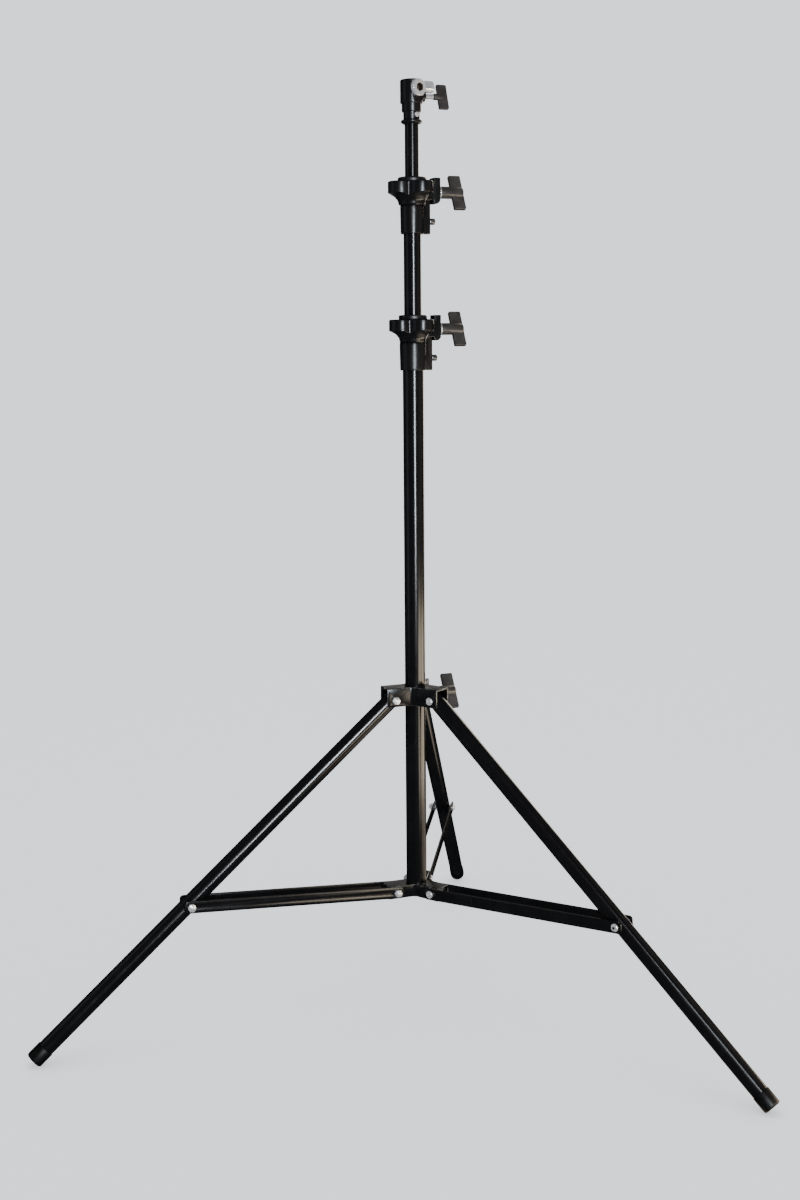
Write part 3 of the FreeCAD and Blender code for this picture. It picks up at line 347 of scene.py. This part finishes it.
class Finish:
    """One procedural material, built node by node."""

    def __init__(self, name, color, roughness, metallic=0.0):
        self.material = bpy.data.materials.new(name)
        self.material.use_nodes = True
        self.nodes = self.material.node_tree.nodes
        self.links = self.material.node_tree.links
        self.shader = self.nodes["Principled BSDF"]
        self.shader.inputs["Base Color"].default_value = (*color, 1.0)
        self.shader.inputs["Roughness"].default_value = roughness
        self.shader.inputs["Metallic"].default_value = metallic
        self.coordinates = self.nodes.new("ShaderNodeTexCoord").outputs["Object"]
        self.height = None

    def add(self, kind, **inputs):
        node = self.nodes.new(kind)
        for name, value in inputs.items():
            socket = node.inputs[name.replace("_", " ")]
            if isinstance(value, bpy.types.NodeSocket):
                self.links.new(value, socket)
            else:
                socket.default_value = value
        return node

    def noise(self, scale, detail=4.0, roughness=0.55, stretch=(1.0, 1.0, 1.0), distortion=0.0):
        mapping = self.add("ShaderNodeMapping", Vector=self.coordinates, Scale=stretch)
        texture = self.add(
            "ShaderNodeTexNoise", Vector=mapping.outputs[0], Scale=scale, Detail=detail,
            Roughness=roughness, Distortion=distortion)
        return texture.outputs["Fac"]

    def band(self, value, low, high, to_low=0.0, to_high=1.0):
        node = self.add("ShaderNodeMapRange", Value=value)
        node.inputs["From Min"].default_value = low
        node.inputs["From Max"].default_value = high
        node.inputs["To Min"].default_value = to_low
        node.inputs["To Max"].default_value = to_high
        return node.outputs["Result"]

    def math(self, operation, a, b):
        node = self.nodes.new("ShaderNodeMath")
        node.operation = operation
        for socket, value in zip(node.inputs, (a, b)):
            if isinstance(value, bpy.types.NodeSocket):
                self.links.new(value, socket)
            else:
                socket.default_value = value
        return node.outputs[0]

    def mix_color(self, factor, first, second):
        node = self.nodes.new("ShaderNodeMix")
        node.data_type = "RGBA"
        self.links.new(factor, node.inputs[0])
        for socket, value in ((node.inputs[6], first), (node.inputs[7], second)):
            if isinstance(value, bpy.types.NodeSocket):
                self.links.new(value, socket)
            else:
                socket.default_value = (*value, 1.0)
        return node.outputs[2]

    def color(self, value):
        self.links.new(value, self.shader.inputs["Base Color"])

    def roughness(self, value):
        self.links.new(value, self.shader.inputs["Roughness"])

    def bump(self, value, strength, distance):
        node = self.add("ShaderNodeBump", Height=value, Strength=strength, Distance=distance)
        if self.height:
            self.links.new(self.height, node.inputs["Normal"])
        self.height = node.outputs[0]
        self.links.new(self.height, self.shader.inputs["Normal"])


def black_paint(name, color, gloss, peel, peel_size, wear=0.0):
    """Semi-gloss black paint with orange peel, faint rub marks and dust."""
    paint = Finish(name, color, gloss)
    paint.shader.inputs["Specular IOR Level"].default_value = PAINT_SPECULAR
    peel_noise = paint.noise(peel_size, detail=2.0)
    patches = paint.noise(9.0, detail=5.0)
    rubs = paint.noise(60.0, detail=3.0, stretch=(1.0, 1.0, 0.12))
    fine = paint.noise(900.0, detail=2.0, stretch=(1.0, 1.0, 0.06))
    rough = paint.band(patches, 0.3, 0.7, gloss - 0.03, gloss + 0.04)
    rough = paint.math("ADD", rough, paint.band(rubs, 0.55, 0.8, 0.0, 0.06))
    paint.roughness(rough)
    dust = paint.band(paint.noise(26.0, detail=6.0), 0.5, 0.8, 0.0, 0.4)
    lighter = tuple(c * 1.7 + 0.003 for c in color)
    tone = paint.mix_color(dust, color, lighter)
    if wear > 0.0:
        lines = paint.band(fine, 0.62, 0.72, 0.0, 1.0)
        worn_patches = paint.band(patches, 0.5, 0.62)
        scuffs = paint.math("MULTIPLY", lines, worn_patches)
        scuffs = paint.math("MULTIPLY", scuffs, wear)
        tone = paint.mix_color(scuffs, tone, (0.06, 0.058, 0.056))
    paint.color(tone)
    paint.bump(peel_noise, peel, 0.0001)
    return paint.material


def cast_paint(color, gloss):
    """Paint over a die casting: softer gloss and a slightly lumpy skin."""
    paint = Finish("black_cast_paint", color, gloss)
    paint.shader.inputs["Specular IOR Level"].default_value = PAINT_SPECULAR
    skin = paint.noise(240.0, detail=4.0)
    lumps = paint.noise(55.0, detail=2.0)
    patches = paint.noise(14.0, detail=5.0)
    paint.roughness(paint.band(patches, 0.3, 0.7, gloss - 0.05, gloss + 0.09))
    chips = paint.band(paint.noise(160.0, detail=5.0), 0.745, 0.76, 0.0, 0.6)
    paint.color(paint.mix_color(chips, color, (0.12, 0.12, 0.12)))
    paint.bump(lumps, 0.12, 0.0004)
    paint.bump(skin, 0.08, 0.0001)
    return paint.material


def nylon(name, color, gloss):
    """Moulded nylon with a fine spark-eroded grain."""
    plastic = Finish(name, color, gloss)
    grain = plastic.noise(1500.0, detail=3.0)
    patches = plastic.noise(30.0, detail=4.0)
    plastic.roughness(plastic.band(patches, 0.3, 0.7, gloss - 0.06, gloss + 0.08))
    greyer = tuple(c * 1.7 + 0.01 for c in color)
    plastic.color(plastic.mix_color(plastic.band(patches, 0.45, 0.75), color, greyer))
    plastic.bump(grain, 0.22, 0.00015)
    return plastic.material


def rubber(color):
    """Matt rubber, greyed by dust in patches."""
    skin = Finish("foot_rubber", color, 0.72)
    skin.shader.inputs["Specular IOR Level"].default_value = PAINT_SPECULAR / 2.0
    grain = skin.noise(700.0, detail=5.0)
    dust = skin.noise(70.0, detail=6.0)
    greyer = tuple(c * 2.5 + 0.002 for c in color)
    skin.color(skin.mix_color(skin.band(dust, 0.42, 0.7, 0.0, 0.5), color, greyer))
    skin.roughness(skin.band(dust, 0.3, 0.7, 0.35, 0.5))
    skin.bump(grain, 0.12, 0.0001)
    return skin.material


def bright_metal(name, color, gloss, brush=0.0, grime=0.3):
    """Plated metal with fine lines and a little grime."""
    metal = Finish(name, color, gloss, metallic=METAL_SHARE)
    smears = metal.noise(120.0, detail=4.0)
    metal.roughness(metal.band(smears, 0.3, 0.7, gloss * 0.75, gloss * 1.6))
    darker = tuple(c * 0.62 for c in color)
    metal.color(metal.mix_color(metal.band(smears, 0.5, 0.8, 0.0, grime), color, darker))
    if brush > 0.0:
        metal.bump(metal.noise(1400.0, detail=2.0, stretch=(1.0, 1.0, 0.15)), brush, 0.0001)
    return metal.material


def worn_and_highlit_edge(color):
    """Paint worn thin along an edge, glossier and greyer; its lighter grey is partly wear and partly a
    painted highlight along the edge.
    """
    edge = Finish("worn_and_highlit_edge", color, 0.24)
    edge.shader.inputs["Specular IOR Level"].default_value = 0.6
    bare = edge.band(edge.noise(130.0, detail=5.0), 0.48, 0.66, 0.0, 0.8)
    edge.color(edge.mix_color(bare, color, (0.19, 0.185, 0.175)))
    edge.roughness(edge.band(edge.noise(300.0), 0.3, 0.7, 0.2, 0.36))
    return edge.material


MATERIALS = {}


def make_materials(colors):
    """Makes every finish once, from the colours of the panel."""
    black = tuple(colors.paint)
    MATERIALS["tube"] = black_paint("black_tube_paint", black, 0.17, 0.02, 420.0, wear=0.3)
    MATERIALS["steel"] = black_paint("black_sheet_paint", black, 0.22, 0.03, 300.0, wear=0.3)
    MATERIALS["cast"] = cast_paint(tuple(c * 1.15 for c in black), 0.26)
    # Lighter edges on pressed steel: partly worn paint, partly a painted highlight along the edges
    MATERIALS["edge"] = worn_and_highlit_edge(tuple(c * 2.0 for c in black))
    MATERIALS["bush"] = nylon("bush_nylon", black, 0.4)
    MATERIALS["grip"] = nylon("handle_nylon", tuple(colors.grip), 0.36)
    MATERIALS["rubber"] = rubber(tuple(colors.rubber))
    MATERIALS["zinc"] = bright_metal("zinc_plate", (0.6, 0.6, 0.61), 0.28, brush=0.2)
    MATERIALS["dark_zinc"] = bright_metal("black_zinc_plate", (0.09, 0.09, 0.092), 0.3, grime=0.4)
    MATERIALS["bolt"] = bright_metal("bright_plate", tuple(colors.bright), 0.24, grime=0.2)
    # Painted shade for the walls of sockets: dark brown metal standing in for the shade inside them
    MATERIALS["recess"] = bright_metal("painted_socket_shade", (0.07, 0.045, 0.025), 0.5, grime=0.6)
    MATERIALS["chrome"] = bright_metal("polished_chrome", (0.86, 0.86, 0.87), 0.09, grime=0.15)
    MATERIALS["brass"] = bright_metal("machined_brass", (0.72, 0.52, 0.22), 0.3, brush=0.3)


# Properties


class StandColors(bpy.types.PropertyGroup):
    paint: bpy.props.FloatVectorProperty(
        name="Paint", description="Black paint of the tubes, brackets and castings",
        default=(0.0055, 0.0055, 0.006), size=3, subtype="COLOR", min=0.0, max=1.0)
    grip: bpy.props.FloatVectorProperty(
        name="Handles", description="Moulded nylon of the T-handles",
        default=(0.034, 0.0295, 0.0275), size=3, subtype="COLOR", min=0.0, max=1.0)
    rubber: bpy.props.FloatVectorProperty(
        name="Feet", description="Rubber of the foot caps",
        default=(0.003, 0.003, 0.003), size=3, subtype="COLOR", min=0.0, max=1.0)
    bright: bpy.props.FloatVectorProperty(
        name="Bolts", description="Plate on the pivot bolts",
        default=(0.82, 0.82, 0.83), size=3, subtype="COLOR", min=0.0, max=1.0)
    floor: bpy.props.FloatVectorProperty(
        name="Floor", description="Pale floor and backdrop",
        default=(0.652, 0.67, 0.69), size=3, subtype="COLOR", min=0.0, max=1.0)


class StandSizes(bpy.types.PropertyGroup):
    edge: bpy.props.FloatProperty(
        name="Edge rounding", description="Rounding of sheet metal edges",
        default=0.0005, min=0.0001, max=0.002, unit="LENGTH")
    cast_edge: bpy.props.FloatProperty(
        name="Casting rounding", description="Rounding of the castings' edges",
        default=0.0009, min=0.0001, max=0.003, unit="LENGTH")
    thread_pitch: bpy.props.FloatProperty(
        name="Thread pitch", description="Pitch of the studs' threads",
        default=0.00125, min=0.0005, max=0.003, unit="LENGTH")
    backdrop: bpy.props.FloatProperty(
        name="Backdrop", description="Half width of the floor",
        default=6.0, min=2.0, max=20.0, unit="LENGTH")


# Operators


# Room light and paper glow, and the shade of paper that the glow is measured for
ROOM_LIGHT = 1.1
BACKDROP_GLOW = 0.63
PAPER_SHADE = 0.66

# Sweep of the backdrop up from the floor: its height as a share of the floor's half width,
# and the bend's radius in metres and its steps
SWEEP_RISE = 1.2
SWEEP_RADIUS = 2.5
SWEEP_STEPS = 16

# Each light: width, height, glow, colour, degrees to the right of the camera,
# distance, height of its middle, height it aims at, and whether it is a reflector
# card, which only shows in glossy surfaces and doesn't light the floor
LIGHTS = {
    "key_strip": (0.4, 1.25, 80.0, (0.86, 0.93, 1.0), 14.0, 3.2, 1.05, 1.05, True),
    "key_upper": (0.4, 1.5, 15.0, (0.92, 0.96, 1.0), 14.0, 3.2, 2.45, 2.45, True),
    "edge_strip": (1.0, 3.4, 4.0, (1.0, 0.9, 0.78), 150.0, 2.4, 1.7, 1.7, True),
    "warm_card": (1.7, 0.5, 9.0, (1.0, 0.84, 0.64), 80.0, 1.5, 0.2, 0.2, True),
    "warm_front": (0.6, 0.5, 8.0, (1.0, 0.86, 0.68), 46.0, 1.5, 0.2, 0.2, True),
    "warm_floor": (1.0, 1.0, 1.6, (1.0, 0.84, 0.66), 100.0, 0.9, 0.02, 6.0, True),
    "brown_card": (2.0, 2.2, 0.3, (1.0, 0.85, 0.7), 80.0, 2.2, 1.7, 1.7, True),
    "cool_card": (1.2, 2.4, 0.4, (0.85, 0.92, 1.0), -75.0, 2.6, 1.4, 1.4, True),
    "back_card": (1.4, 1.6, 0.35, (1.0, 0.97, 0.93), 180.0, 2.5, 1.3, 1.3, True),
    "top": (3.0, 3.0, 1.2, (1.0, 1.0, 1.0), 0.0, 0.3, 4.2, 0.0, False),
}


class STAND_OT_stage(bpy.types.Operator):
    """Lay the pale floor and backdrop, hang the soft lights and set the camera"""
    bl_idname = "stand.stage"
    bl_label = "Stage"

    def execute(self, context):
        scene = context.scene
        self.backdrop(scene)
        self.world(scene)
        self.lights()
        self.camera(scene)
        return {"FINISHED"}

    def backdrop(self, scene):
        half = scene.stand_sizes.backdrop
        deselect()
        bpy.ops.mesh.primitive_plane_add(size=half * 2.0)
        floor = bpy.context.object
        floor.name = "floor"
        bpy.ops.object.mode_set(mode="EDIT")
        bpy.ops.mesh.select_all(action="DESELECT")
        bpy.ops.object.mode_set(mode="OBJECT")
        for edge in floor.data.edges:
            edge.select = all(floor.data.vertices[i].co.y > half * 0.9 for i in edge.vertices)
        bpy.ops.object.mode_set(mode="EDIT")
        bpy.ops.mesh.select_mode(type="EDGE")
        rise = (0.0, 0.0, half * SWEEP_RISE)
        bpy.ops.mesh.extrude_region_move(TRANSFORM_OT_translate={"value": rise})
        bpy.ops.object.mode_set(mode="OBJECT")
        round_edges(floor, SWEEP_RADIUS, segments=SWEEP_STEPS, angle=30.0)
        smooth(floor, 60.0)
        paper = Finish("pale_floor", tuple(scene.stand_colors.floor), 0.85)
        paper.bump(paper.noise(30.0, detail=6.0), 0.02, 0.001)
        paper.shader.inputs["Specular IOR Level"].default_value = 0.0
        paper.shader.inputs["Emission Color"].default_value = (*scene.stand_colors.floor, 1.0)
        paper.shader.inputs["Emission Strength"].default_value = BACKDROP_GLOW / PAPER_SHADE
        floor.data.materials.append(paper.material)
        floor.visible_glossy = False

    def world(self, scene):
        world = bpy.data.worlds.new("studio")
        world.use_nodes = True
        world.node_tree.nodes["Background"].inputs["Color"].default_value = (0.93, 0.95, 0.97, 1.0)
        world.node_tree.nodes["Background"].inputs["Strength"].default_value = ROOM_LIGHT
        world.cycles_visibility.glossy = False
        scene.world = world

    def lights(self):
        for name, kind in LIGHTS.items():
            width, height, glow, color, azimuth, distance, middle, aim_height, lit = kind
            data = bpy.data.lights.new(name, "AREA")
            data.shape = "RECTANGLE"
            data.size, data.size_y = width, height
            data.energy = glow * math.pi * width * height
            data.color = color
            lamp = bpy.data.objects.new(name, data)
            bpy.context.collection.objects.link(lamp)
            side = REAR_LEG_TURN + math.radians(azimuth)
            place = MAST + Vector((math.sin(side), -math.cos(side), 0.0)) * distance
            place.z = middle
            lamp.location = place
            aim = Vector((MAST.x, MAST.y, aim_height)) - place
            lamp.rotation_euler = aim.to_track_quat("-Z", "Y").to_euler()
            lamp.visible_glossy = lit
            lamp.visible_diffuse = not lit
            lamp.visible_camera = False

    def camera(self, scene):
        forward = Vector((
            math.sin(CAMERA_YAW) * math.cos(CAMERA_PITCH),
            math.cos(CAMERA_YAW) * math.cos(CAMERA_PITCH),
            math.sin(CAMERA_PITCH),
        ))
        right = forward.cross(Vector((0.0, 0.0, 1.0))).normalized()
        up = right.cross(forward)
        tilt = math.cos(CAMERA_ROLL)
        lean = math.sin(CAMERA_ROLL)
        right, up = right * tilt + up * lean, up * tilt - right * lean
        turn = Matrix((right, up, -forward)).transposed().to_4x4()
        data = bpy.data.cameras.new("photo_camera")
        data.sensor_width = SENSOR
        data.lens = FOCAL_PIXELS / FRAME_HEIGHT * SENSOR
        data.shift_x = (FRAME_WIDTH / 2.0 - CENTRE_X) / FRAME_HEIGHT
        data.shift_y = (CENTRE_Y - FRAME_HEIGHT / 2.0) / FRAME_HEIGHT
        camera = bpy.data.objects.new("photo_camera", data)
        scene.collection.objects.link(camera)
        place = Matrix.Translation((0.0, -CAMERA_DISTANCE, CAMERA_HEIGHT)) @ turn
        camera.matrix_world = Matrix.Translation(MAST) @ Matrix.Rotation(REAR_LEG_TURN, 4, "Z") @ place
        scene.camera = camera


class STAND_OT_tubes(bpy.types.Operator):
    """Finish the mast tubes, their guides and the plug"""
    bl_idname = "stand.tubes"
    bl_label = "Mast tubes"

    def execute(self, context):
        for node in ("base_tube", "riser_2_tube", "riser_3_tube"):
            paint_node(node, MATERIALS["tube"])
        for node in ("base_plug", "riser_2_guide", "riser_3_guide"):
            paint_node(node, MATERIALS["bush"])
        return {"FINISHED"}


class STAND_OT_collars(bpy.types.Operator):
    """Round the cast clamp collars and finish their bushes, shoes and screws"""
    bl_idname = "stand.collars"
    bl_label = "Clamp collars"

    def execute(self, context):
        edge = context.scene.stand_sizes.cast_edge
        for number, body in (("1", "mast"), ("2", "riser_2")):
            name = "collar_" + number
            casting = softened(name, name + "_casting", edge, segments=3)
            finish_two(casting, MATERIALS["cast"], MATERIALS["cast"], body, "black_casting", name)
            bush = softened(name + "_bush", name + "_flange_bush", edge, segments=2)
            finish_two(bush, MATERIALS["bush"], MATERIALS["bush"], body, "black_plastic", name + "_bush")
            screw = softened(name + "_screw", name + "_cap_screw", edge / 3.0)
            # The screw's rounded edges take the bright zinc over its dark zinc body: a painted highlight
            # round its rim
            finish_two(
                screw, MATERIALS["dark_zinc"], MATERIALS["zinc"], body, "zinc_steel", name + "_screw")
            # The screw's socket walls take a painted shade
            darken_hollows(screw, SCREW_SOCKET_REACH, radial=True)
            paint_node(name + "_shoe", MATERIALS["brass"])
        return {"FINISHED"}


# T-handles in millimetres and degrees: each clamp's stem, joint and body, then the moulds
RIDGE = 0.3
STUD_D = 8.0
STUD_POINT = 1.2
THREAD_DEPTH = 0.6
HUB_CHAMFER = 1.0
HUB_CROWN = 3.0
CLAMPS = (
    ("clamp_1", "clamp_1_turn", "clamp_handle_1"),
    ("clamp_2", "clamp_2_turn", "clamp_handle_2"),
    ("slider_clamp", "slider_clamp_turn", "slider_handle"),
    ("head", "head_clamp_turn", "head_handle"),
)
LARGE_HANDLE = {
    "hub": 19.8, "hub_short": 0.0, "length": 62.6, "root": 21.8, "tip": 20.8, "thickness": 8.0,
    "over": 1.6, "corner": 1.6, "edge": 1.0, "joint": 0.7, "draft": 0.1,
    "turn": {"clamp_1": 26.6, "clamp_2": 26.6, "slider_clamp": 31.0},
}
SMALL_HANDLE = {
    "hub": 10.4, "hub_short": 6.5, "length": 43.0, "root": 21.5, "tip": 17.0, "thickness": 6.5,
    "over": 3.5, "corner": 2.0, "edge": 1.1, "joint": 0.5, "draft": 0.1, "turn": {"head": 20.0},
}


class STAND_OT_handles(bpy.types.Operator):
    """Model the T-handles, their threaded studs and washers"""
    bl_idname = "stand.handles"
    bl_label = "T-handles"

    def execute(self, context):
        sizes = context.scene.stand_sizes
        for stem, joint, body in CLAMPS:
            spec = JOINTS[joint]
            origin = Vector(spec["pos_m"])
            axis = Vector(spec["axis"]).normalized()
            middle = Vector((MAST.x, MAST.y, origin.z))
            self.handle(stem, axis, middle, body)
            self.stud(stem, axis, middle, body, sizes.thread_pitch / MM)
            if stem != "head":
                node = stem + "_washer"
                disc = softened(node, stem + "_bright_washer", sizes.edge)
                finish_two(disc, MATERIALS["zinc"], MATERIALS["zinc"], body, "zinc_steel", node)
        return {"FINISHED"}

    def handle(self, stem, axis, middle, body):
        """Round hub through a flat cross bar, with the mould's parting line round it."""
        node = stem + "_handle"
        small = stem == "head"
        shape = SMALL_HANDLE if small else LARGE_HANDLE
        start, end = span_along(node, axis, middle)
        hub_r = shape["hub"] / 2.0
        top = end - shape["hub_short"]
        grip = turned(stem + "_t_handle", [
            (hub_r - HUB_CHAMFER, start),
            (hub_r, start + HUB_CHAMFER),
            (hub_r, top - HUB_CROWN),
            (hub_r - 0.9, top - 1.3),
            (hub_r - 2.6, top - 0.4),
            (hub_r * 0.3, top),
        ], sides=56)
        end += shape["over"]
        blade = self.blade(shape, end)
        fuse(grip, blade)
        round_edges(grip, shape["joint"] * MM, segments=2, angle=40.0)
        line = self.parting_line(shape, end)
        grip = joined([grip, line], stem + "_t_handle")
        close_mesh(grip)
        smooth(grip, 42.0)
        set_place(grip, outward(CLAMP_ANGLE, middle.z, math.radians(shape["turn"][stem])))
        finish_piece(grip, MATERIALS["grip"], body, "handle_plastic", node)

    def blade(self, shape, end):
        """Flat cross bar with tapered tips and rounded corners."""
        root, tip, half = shape["root"], shape["tip"], shape["length"] / 2.0
        blade = bar("blade", (shape["length"], shape["thickness"], root), (0.0, 0.0, end - root / 2.0))
        round_corners(blade, shape["corner"], axis=1)
        for vertex in blade.data.vertices:
            share = abs(vertex.co.x) / (half * MM)
            if vertex.co.z > (end - root / 2.0) * MM:
                vertex.co.z -= (root - tip) * MM * share
            vertex.co.y *= 1.0 - shape["draft"] * share
        round_edges(blade, shape["edge"] * MM, segments=3, angle=50.0)
        return blade

    def parting_line(self, shape, end):
        """Thin ridge that a mould leaves round the bar's rim."""
        root, tip, half = shape["root"], shape["tip"], shape["length"] / 2.0
        ridge = bar(
            "ridge", (shape["length"] + RIDGE, RIDGE * 1.6, root + RIDGE),
            (0.0, 0.0, end - root / 2.0))
        round_corners(ridge, shape["corner"], axis=1)
        for vertex in ridge.data.vertices:
            if vertex.co.z > (end - root / 2.0) * MM:
                vertex.co.z -= (root - tip) * MM * abs(vertex.co.x) / (half * MM)
        return ridge

    def stud(self, stem, axis, middle, body, pitch):
        """Stud with a thread from its pointed tip up to its plain end."""
        node = stem + "_stud"
        start, end = span_along(node, axis, middle)
        radius = STUD_D / 2.0
        root = radius - pitch * THREAD_DEPTH
        rings = [(radius - 1.3, start), (root, start + STUD_POINT)]
        height = start + STUD_POINT
        while height + pitch < end - 1.0:
            rings.append((radius, height + pitch * 0.4))
            rings.append((radius, height + pitch * 0.6))
            rings.append((root, height + pitch))
            height += pitch
        rings.append((radius, end - 0.5))
        rings.append((radius, end))
        stud = turned(stem + "_threaded_stud", rings, sides=32)
        smooth(stud, 25.0)
        set_place(stud, outward(CLAMP_ANGLE, middle.z))
        finish_piece(stud, MATERIALS["zinc"], body, "zinc_steel", node)


# The cut ends of a bracket's channels: how far out they lie, and how squarely they face out
RIM_SHARE = 0.8
RIM_FACING = 0.8


class STAND_OT_brackets(bpy.types.Operator):
    """Round the two pressed spider brackets and give their edges and open rims a lighter finish, partly
    wear and partly painted highlight
    """
    bl_idname = "stand.brackets"
    bl_label = "Spider brackets"

    def execute(self, context):
        edge = context.scene.stand_sizes.edge
        for node, body in (("lower_bracket", "mast"), ("slider_bracket", "slider")):
            spider = softened(node, node + "_pressing", edge)
            self.rims_worn_and_highlit(spider)
            finish_two(spider, MATERIALS["steel"], MATERIALS["edge"], body, "black_steel", node)
        paint_node("slider_bush", MATERIALS["bush"])
        paint_node("slider_shoe", MATERIALS["brass"])
        paint_node("lower_bracket_screw", MATERIALS["zinc"])
        return {"FINISHED"}

    def rims_worn_and_highlit(self, spider):
        """The cut ends of the three channels take the edge finish, partly wear and partly a painted
        highlight.
        """
        reach = max((v.co - MAST).xy.length for v in spider.data.vertices)
        for face in spider.data.polygons:
            out = face.center - MAST
            out.z = 0.0
            faces_out = face.normal.dot(out.normalized()) > RIM_FACING
            if out.length > reach * RIM_SHARE and faces_out:
                face.material_index = EDGES


class STAND_OT_fasteners(bpy.types.Operator):
    """Round the pivot bolts and nuts and paint shade into the bolts' sockets"""
    bl_idname = "stand.fasteners"
    bl_label = "Pivot bolts"

    def execute(self, context):
        for stem, body in (("lower_pivot", "mast"), ("slider_pivot", "slider")):
            self.bolts(stem + "_bolts", body, stem + "_domed_bolts")
            nuts = softened(stem + "_nuts", stem + "_lock_nuts", NUT_EDGE)
            finish_two(nuts, MATERIALS["zinc"], MATERIALS["zinc"], body, "zinc_steel", stem + "_nuts")
        for side in SIDES:
            stem = "brace_" + side
            self.bolts(stem + "_studs", stem, stem + "_domed_studs")
            discs = softened(stem + "_washers", stem + "_spacers", NUT_EDGE)
            finish_two(discs, MATERIALS["zinc"], MATERIALS["zinc"], stem, "zinc_steel", stem + "_washers")
        return {"FINISHED"}

    def bolts(self, node, body, name):
        """Bright bolts, each with a painted shade inside its socket."""
        group = softened(node, name, NUT_EDGE)
        finish_two(group, MATERIALS["bolt"], MATERIALS["bolt"], body, "bright_bolts", node)
        darken_hollows(group, BOLT_SOCKET_REACH, radial=False)


class STAND_OT_legs(bpy.types.Operator):
    """Finish the legs and plugs and round the rubber feet"""
    bl_idname = "stand.legs"
    bl_label = "Legs and feet"

    def execute(self, context):
        for side in SIDES:
            stem = "leg_" + side
            paint_node(stem + "_tube", MATERIALS["tube"])
            paint_node(stem + "_plug", MATERIALS["bush"])
            cap = softened(stem + "_foot", stem + "_rubber_cap", context.scene.stand_sizes.edge)
            finish_two(cap, MATERIALS["rubber"], MATERIALS["rubber"], stem, "rubber", stem + "_foot")
        return {"FINISHED"}


class STAND_OT_braces(bpy.types.Operator):
    """Round the edges of the flat brace strips"""
    bl_idname = "stand.braces"
    bl_label = "Braces"

    def execute(self, context):
        for side in SIDES:
            stem = "brace_" + side
            pair = softened(stem + "_strips", stem + "_flat_strips", context.scene.stand_sizes.edge)
            finish_two(pair, MATERIALS["steel"], MATERIALS["steel"], stem, "black_steel", stem + "_strips")
        return {"FINISHED"}


class STAND_OT_head(bpy.types.Operator):
    """Round the socket head and finish its bright fittings"""
    bl_idname = "stand.head"
    bl_label = "Head"

    def execute(self, context):
        edge = context.scene.stand_sizes.cast_edge
        casting = softened("head_body", "head_casting", edge / 2.0)
        finish_two(casting, MATERIALS["cast"], MATERIALS["cast"], "riser_3", "black_casting", "head_body")
        stop = softened("head_ring", "head_stop_ring", edge / 2.0)
        finish_two(stop, MATERIALS["cast"], MATERIALS["cast"], "riser_3", "black_casting", "head_ring")
        screw = softened("head_screw", "head_bright_screw", NUT_EDGE)
        finish_two(screw, MATERIALS["bolt"], MATERIALS["bolt"], "riser_3", "bright_bolts", "head_screw")
        for node, name in (("cross_socket", "chrome_cross_socket"), ("side_stud", "chrome_side_stud")):
            fitting = softened(node, name, edge / 3.0)
            finish_two(fitting, MATERIALS["chrome"], MATERIALS["chrome"], "riser_3", "chrome", node)
            if node == "cross_socket":
                # The cross socket's hollow walls take a painted shade
                darken_hollows(fitting, CROSS_SOCKET_REACH, radial=True)
        return {"FINISHED"}


class STAND_PT_panel(bpy.types.Panel):
    bl_idname = "STAND_PT_panel"
    bl_label = "Light Stand"
    bl_space_type = "VIEW_3D"
    bl_region_type = "UI"
    bl_category = "Light Stand"

    def draw(self, context):
        for group in (context.scene.stand_sizes, context.scene.stand_colors):
            for name in group.__annotations__:
                self.layout.prop(group, name)
        for step in STEPS:
            self.layout.operator(step.bl_idname)


STEPS = (
    STAND_OT_stage,
    STAND_OT_tubes,
    STAND_OT_collars,
    STAND_OT_handles,
    STAND_OT_brackets,
    STAND_OT_fasteners,
    STAND_OT_legs,
    STAND_OT_braces,
    STAND_OT_head,
)
CLASSES = (StandColors, StandSizes, *STEPS, STAND_PT_panel)


def register():
    for item in CLASSES:
        bpy.utils.register_class(item)
    bpy.types.Scene.stand_colors = bpy.props.PointerProperty(type=StandColors)
    bpy.types.Scene.stand_sizes = bpy.props.PointerProperty(type=StandSizes)


def unregister():
    del bpy.types.Scene.stand_colors
    del bpy.types.Scene.stand_sizes
    for item in reversed(CLASSES):
        bpy.utils.unregister_class(item)


def main():
    register()
    make_materials(bpy.context.scene.stand_colors)
    for step in STEPS:
        group, name = step.bl_idname.split(".")
        getattr(getattr(bpy.ops, group), name)()


if __name__ == "__main__":
    main()
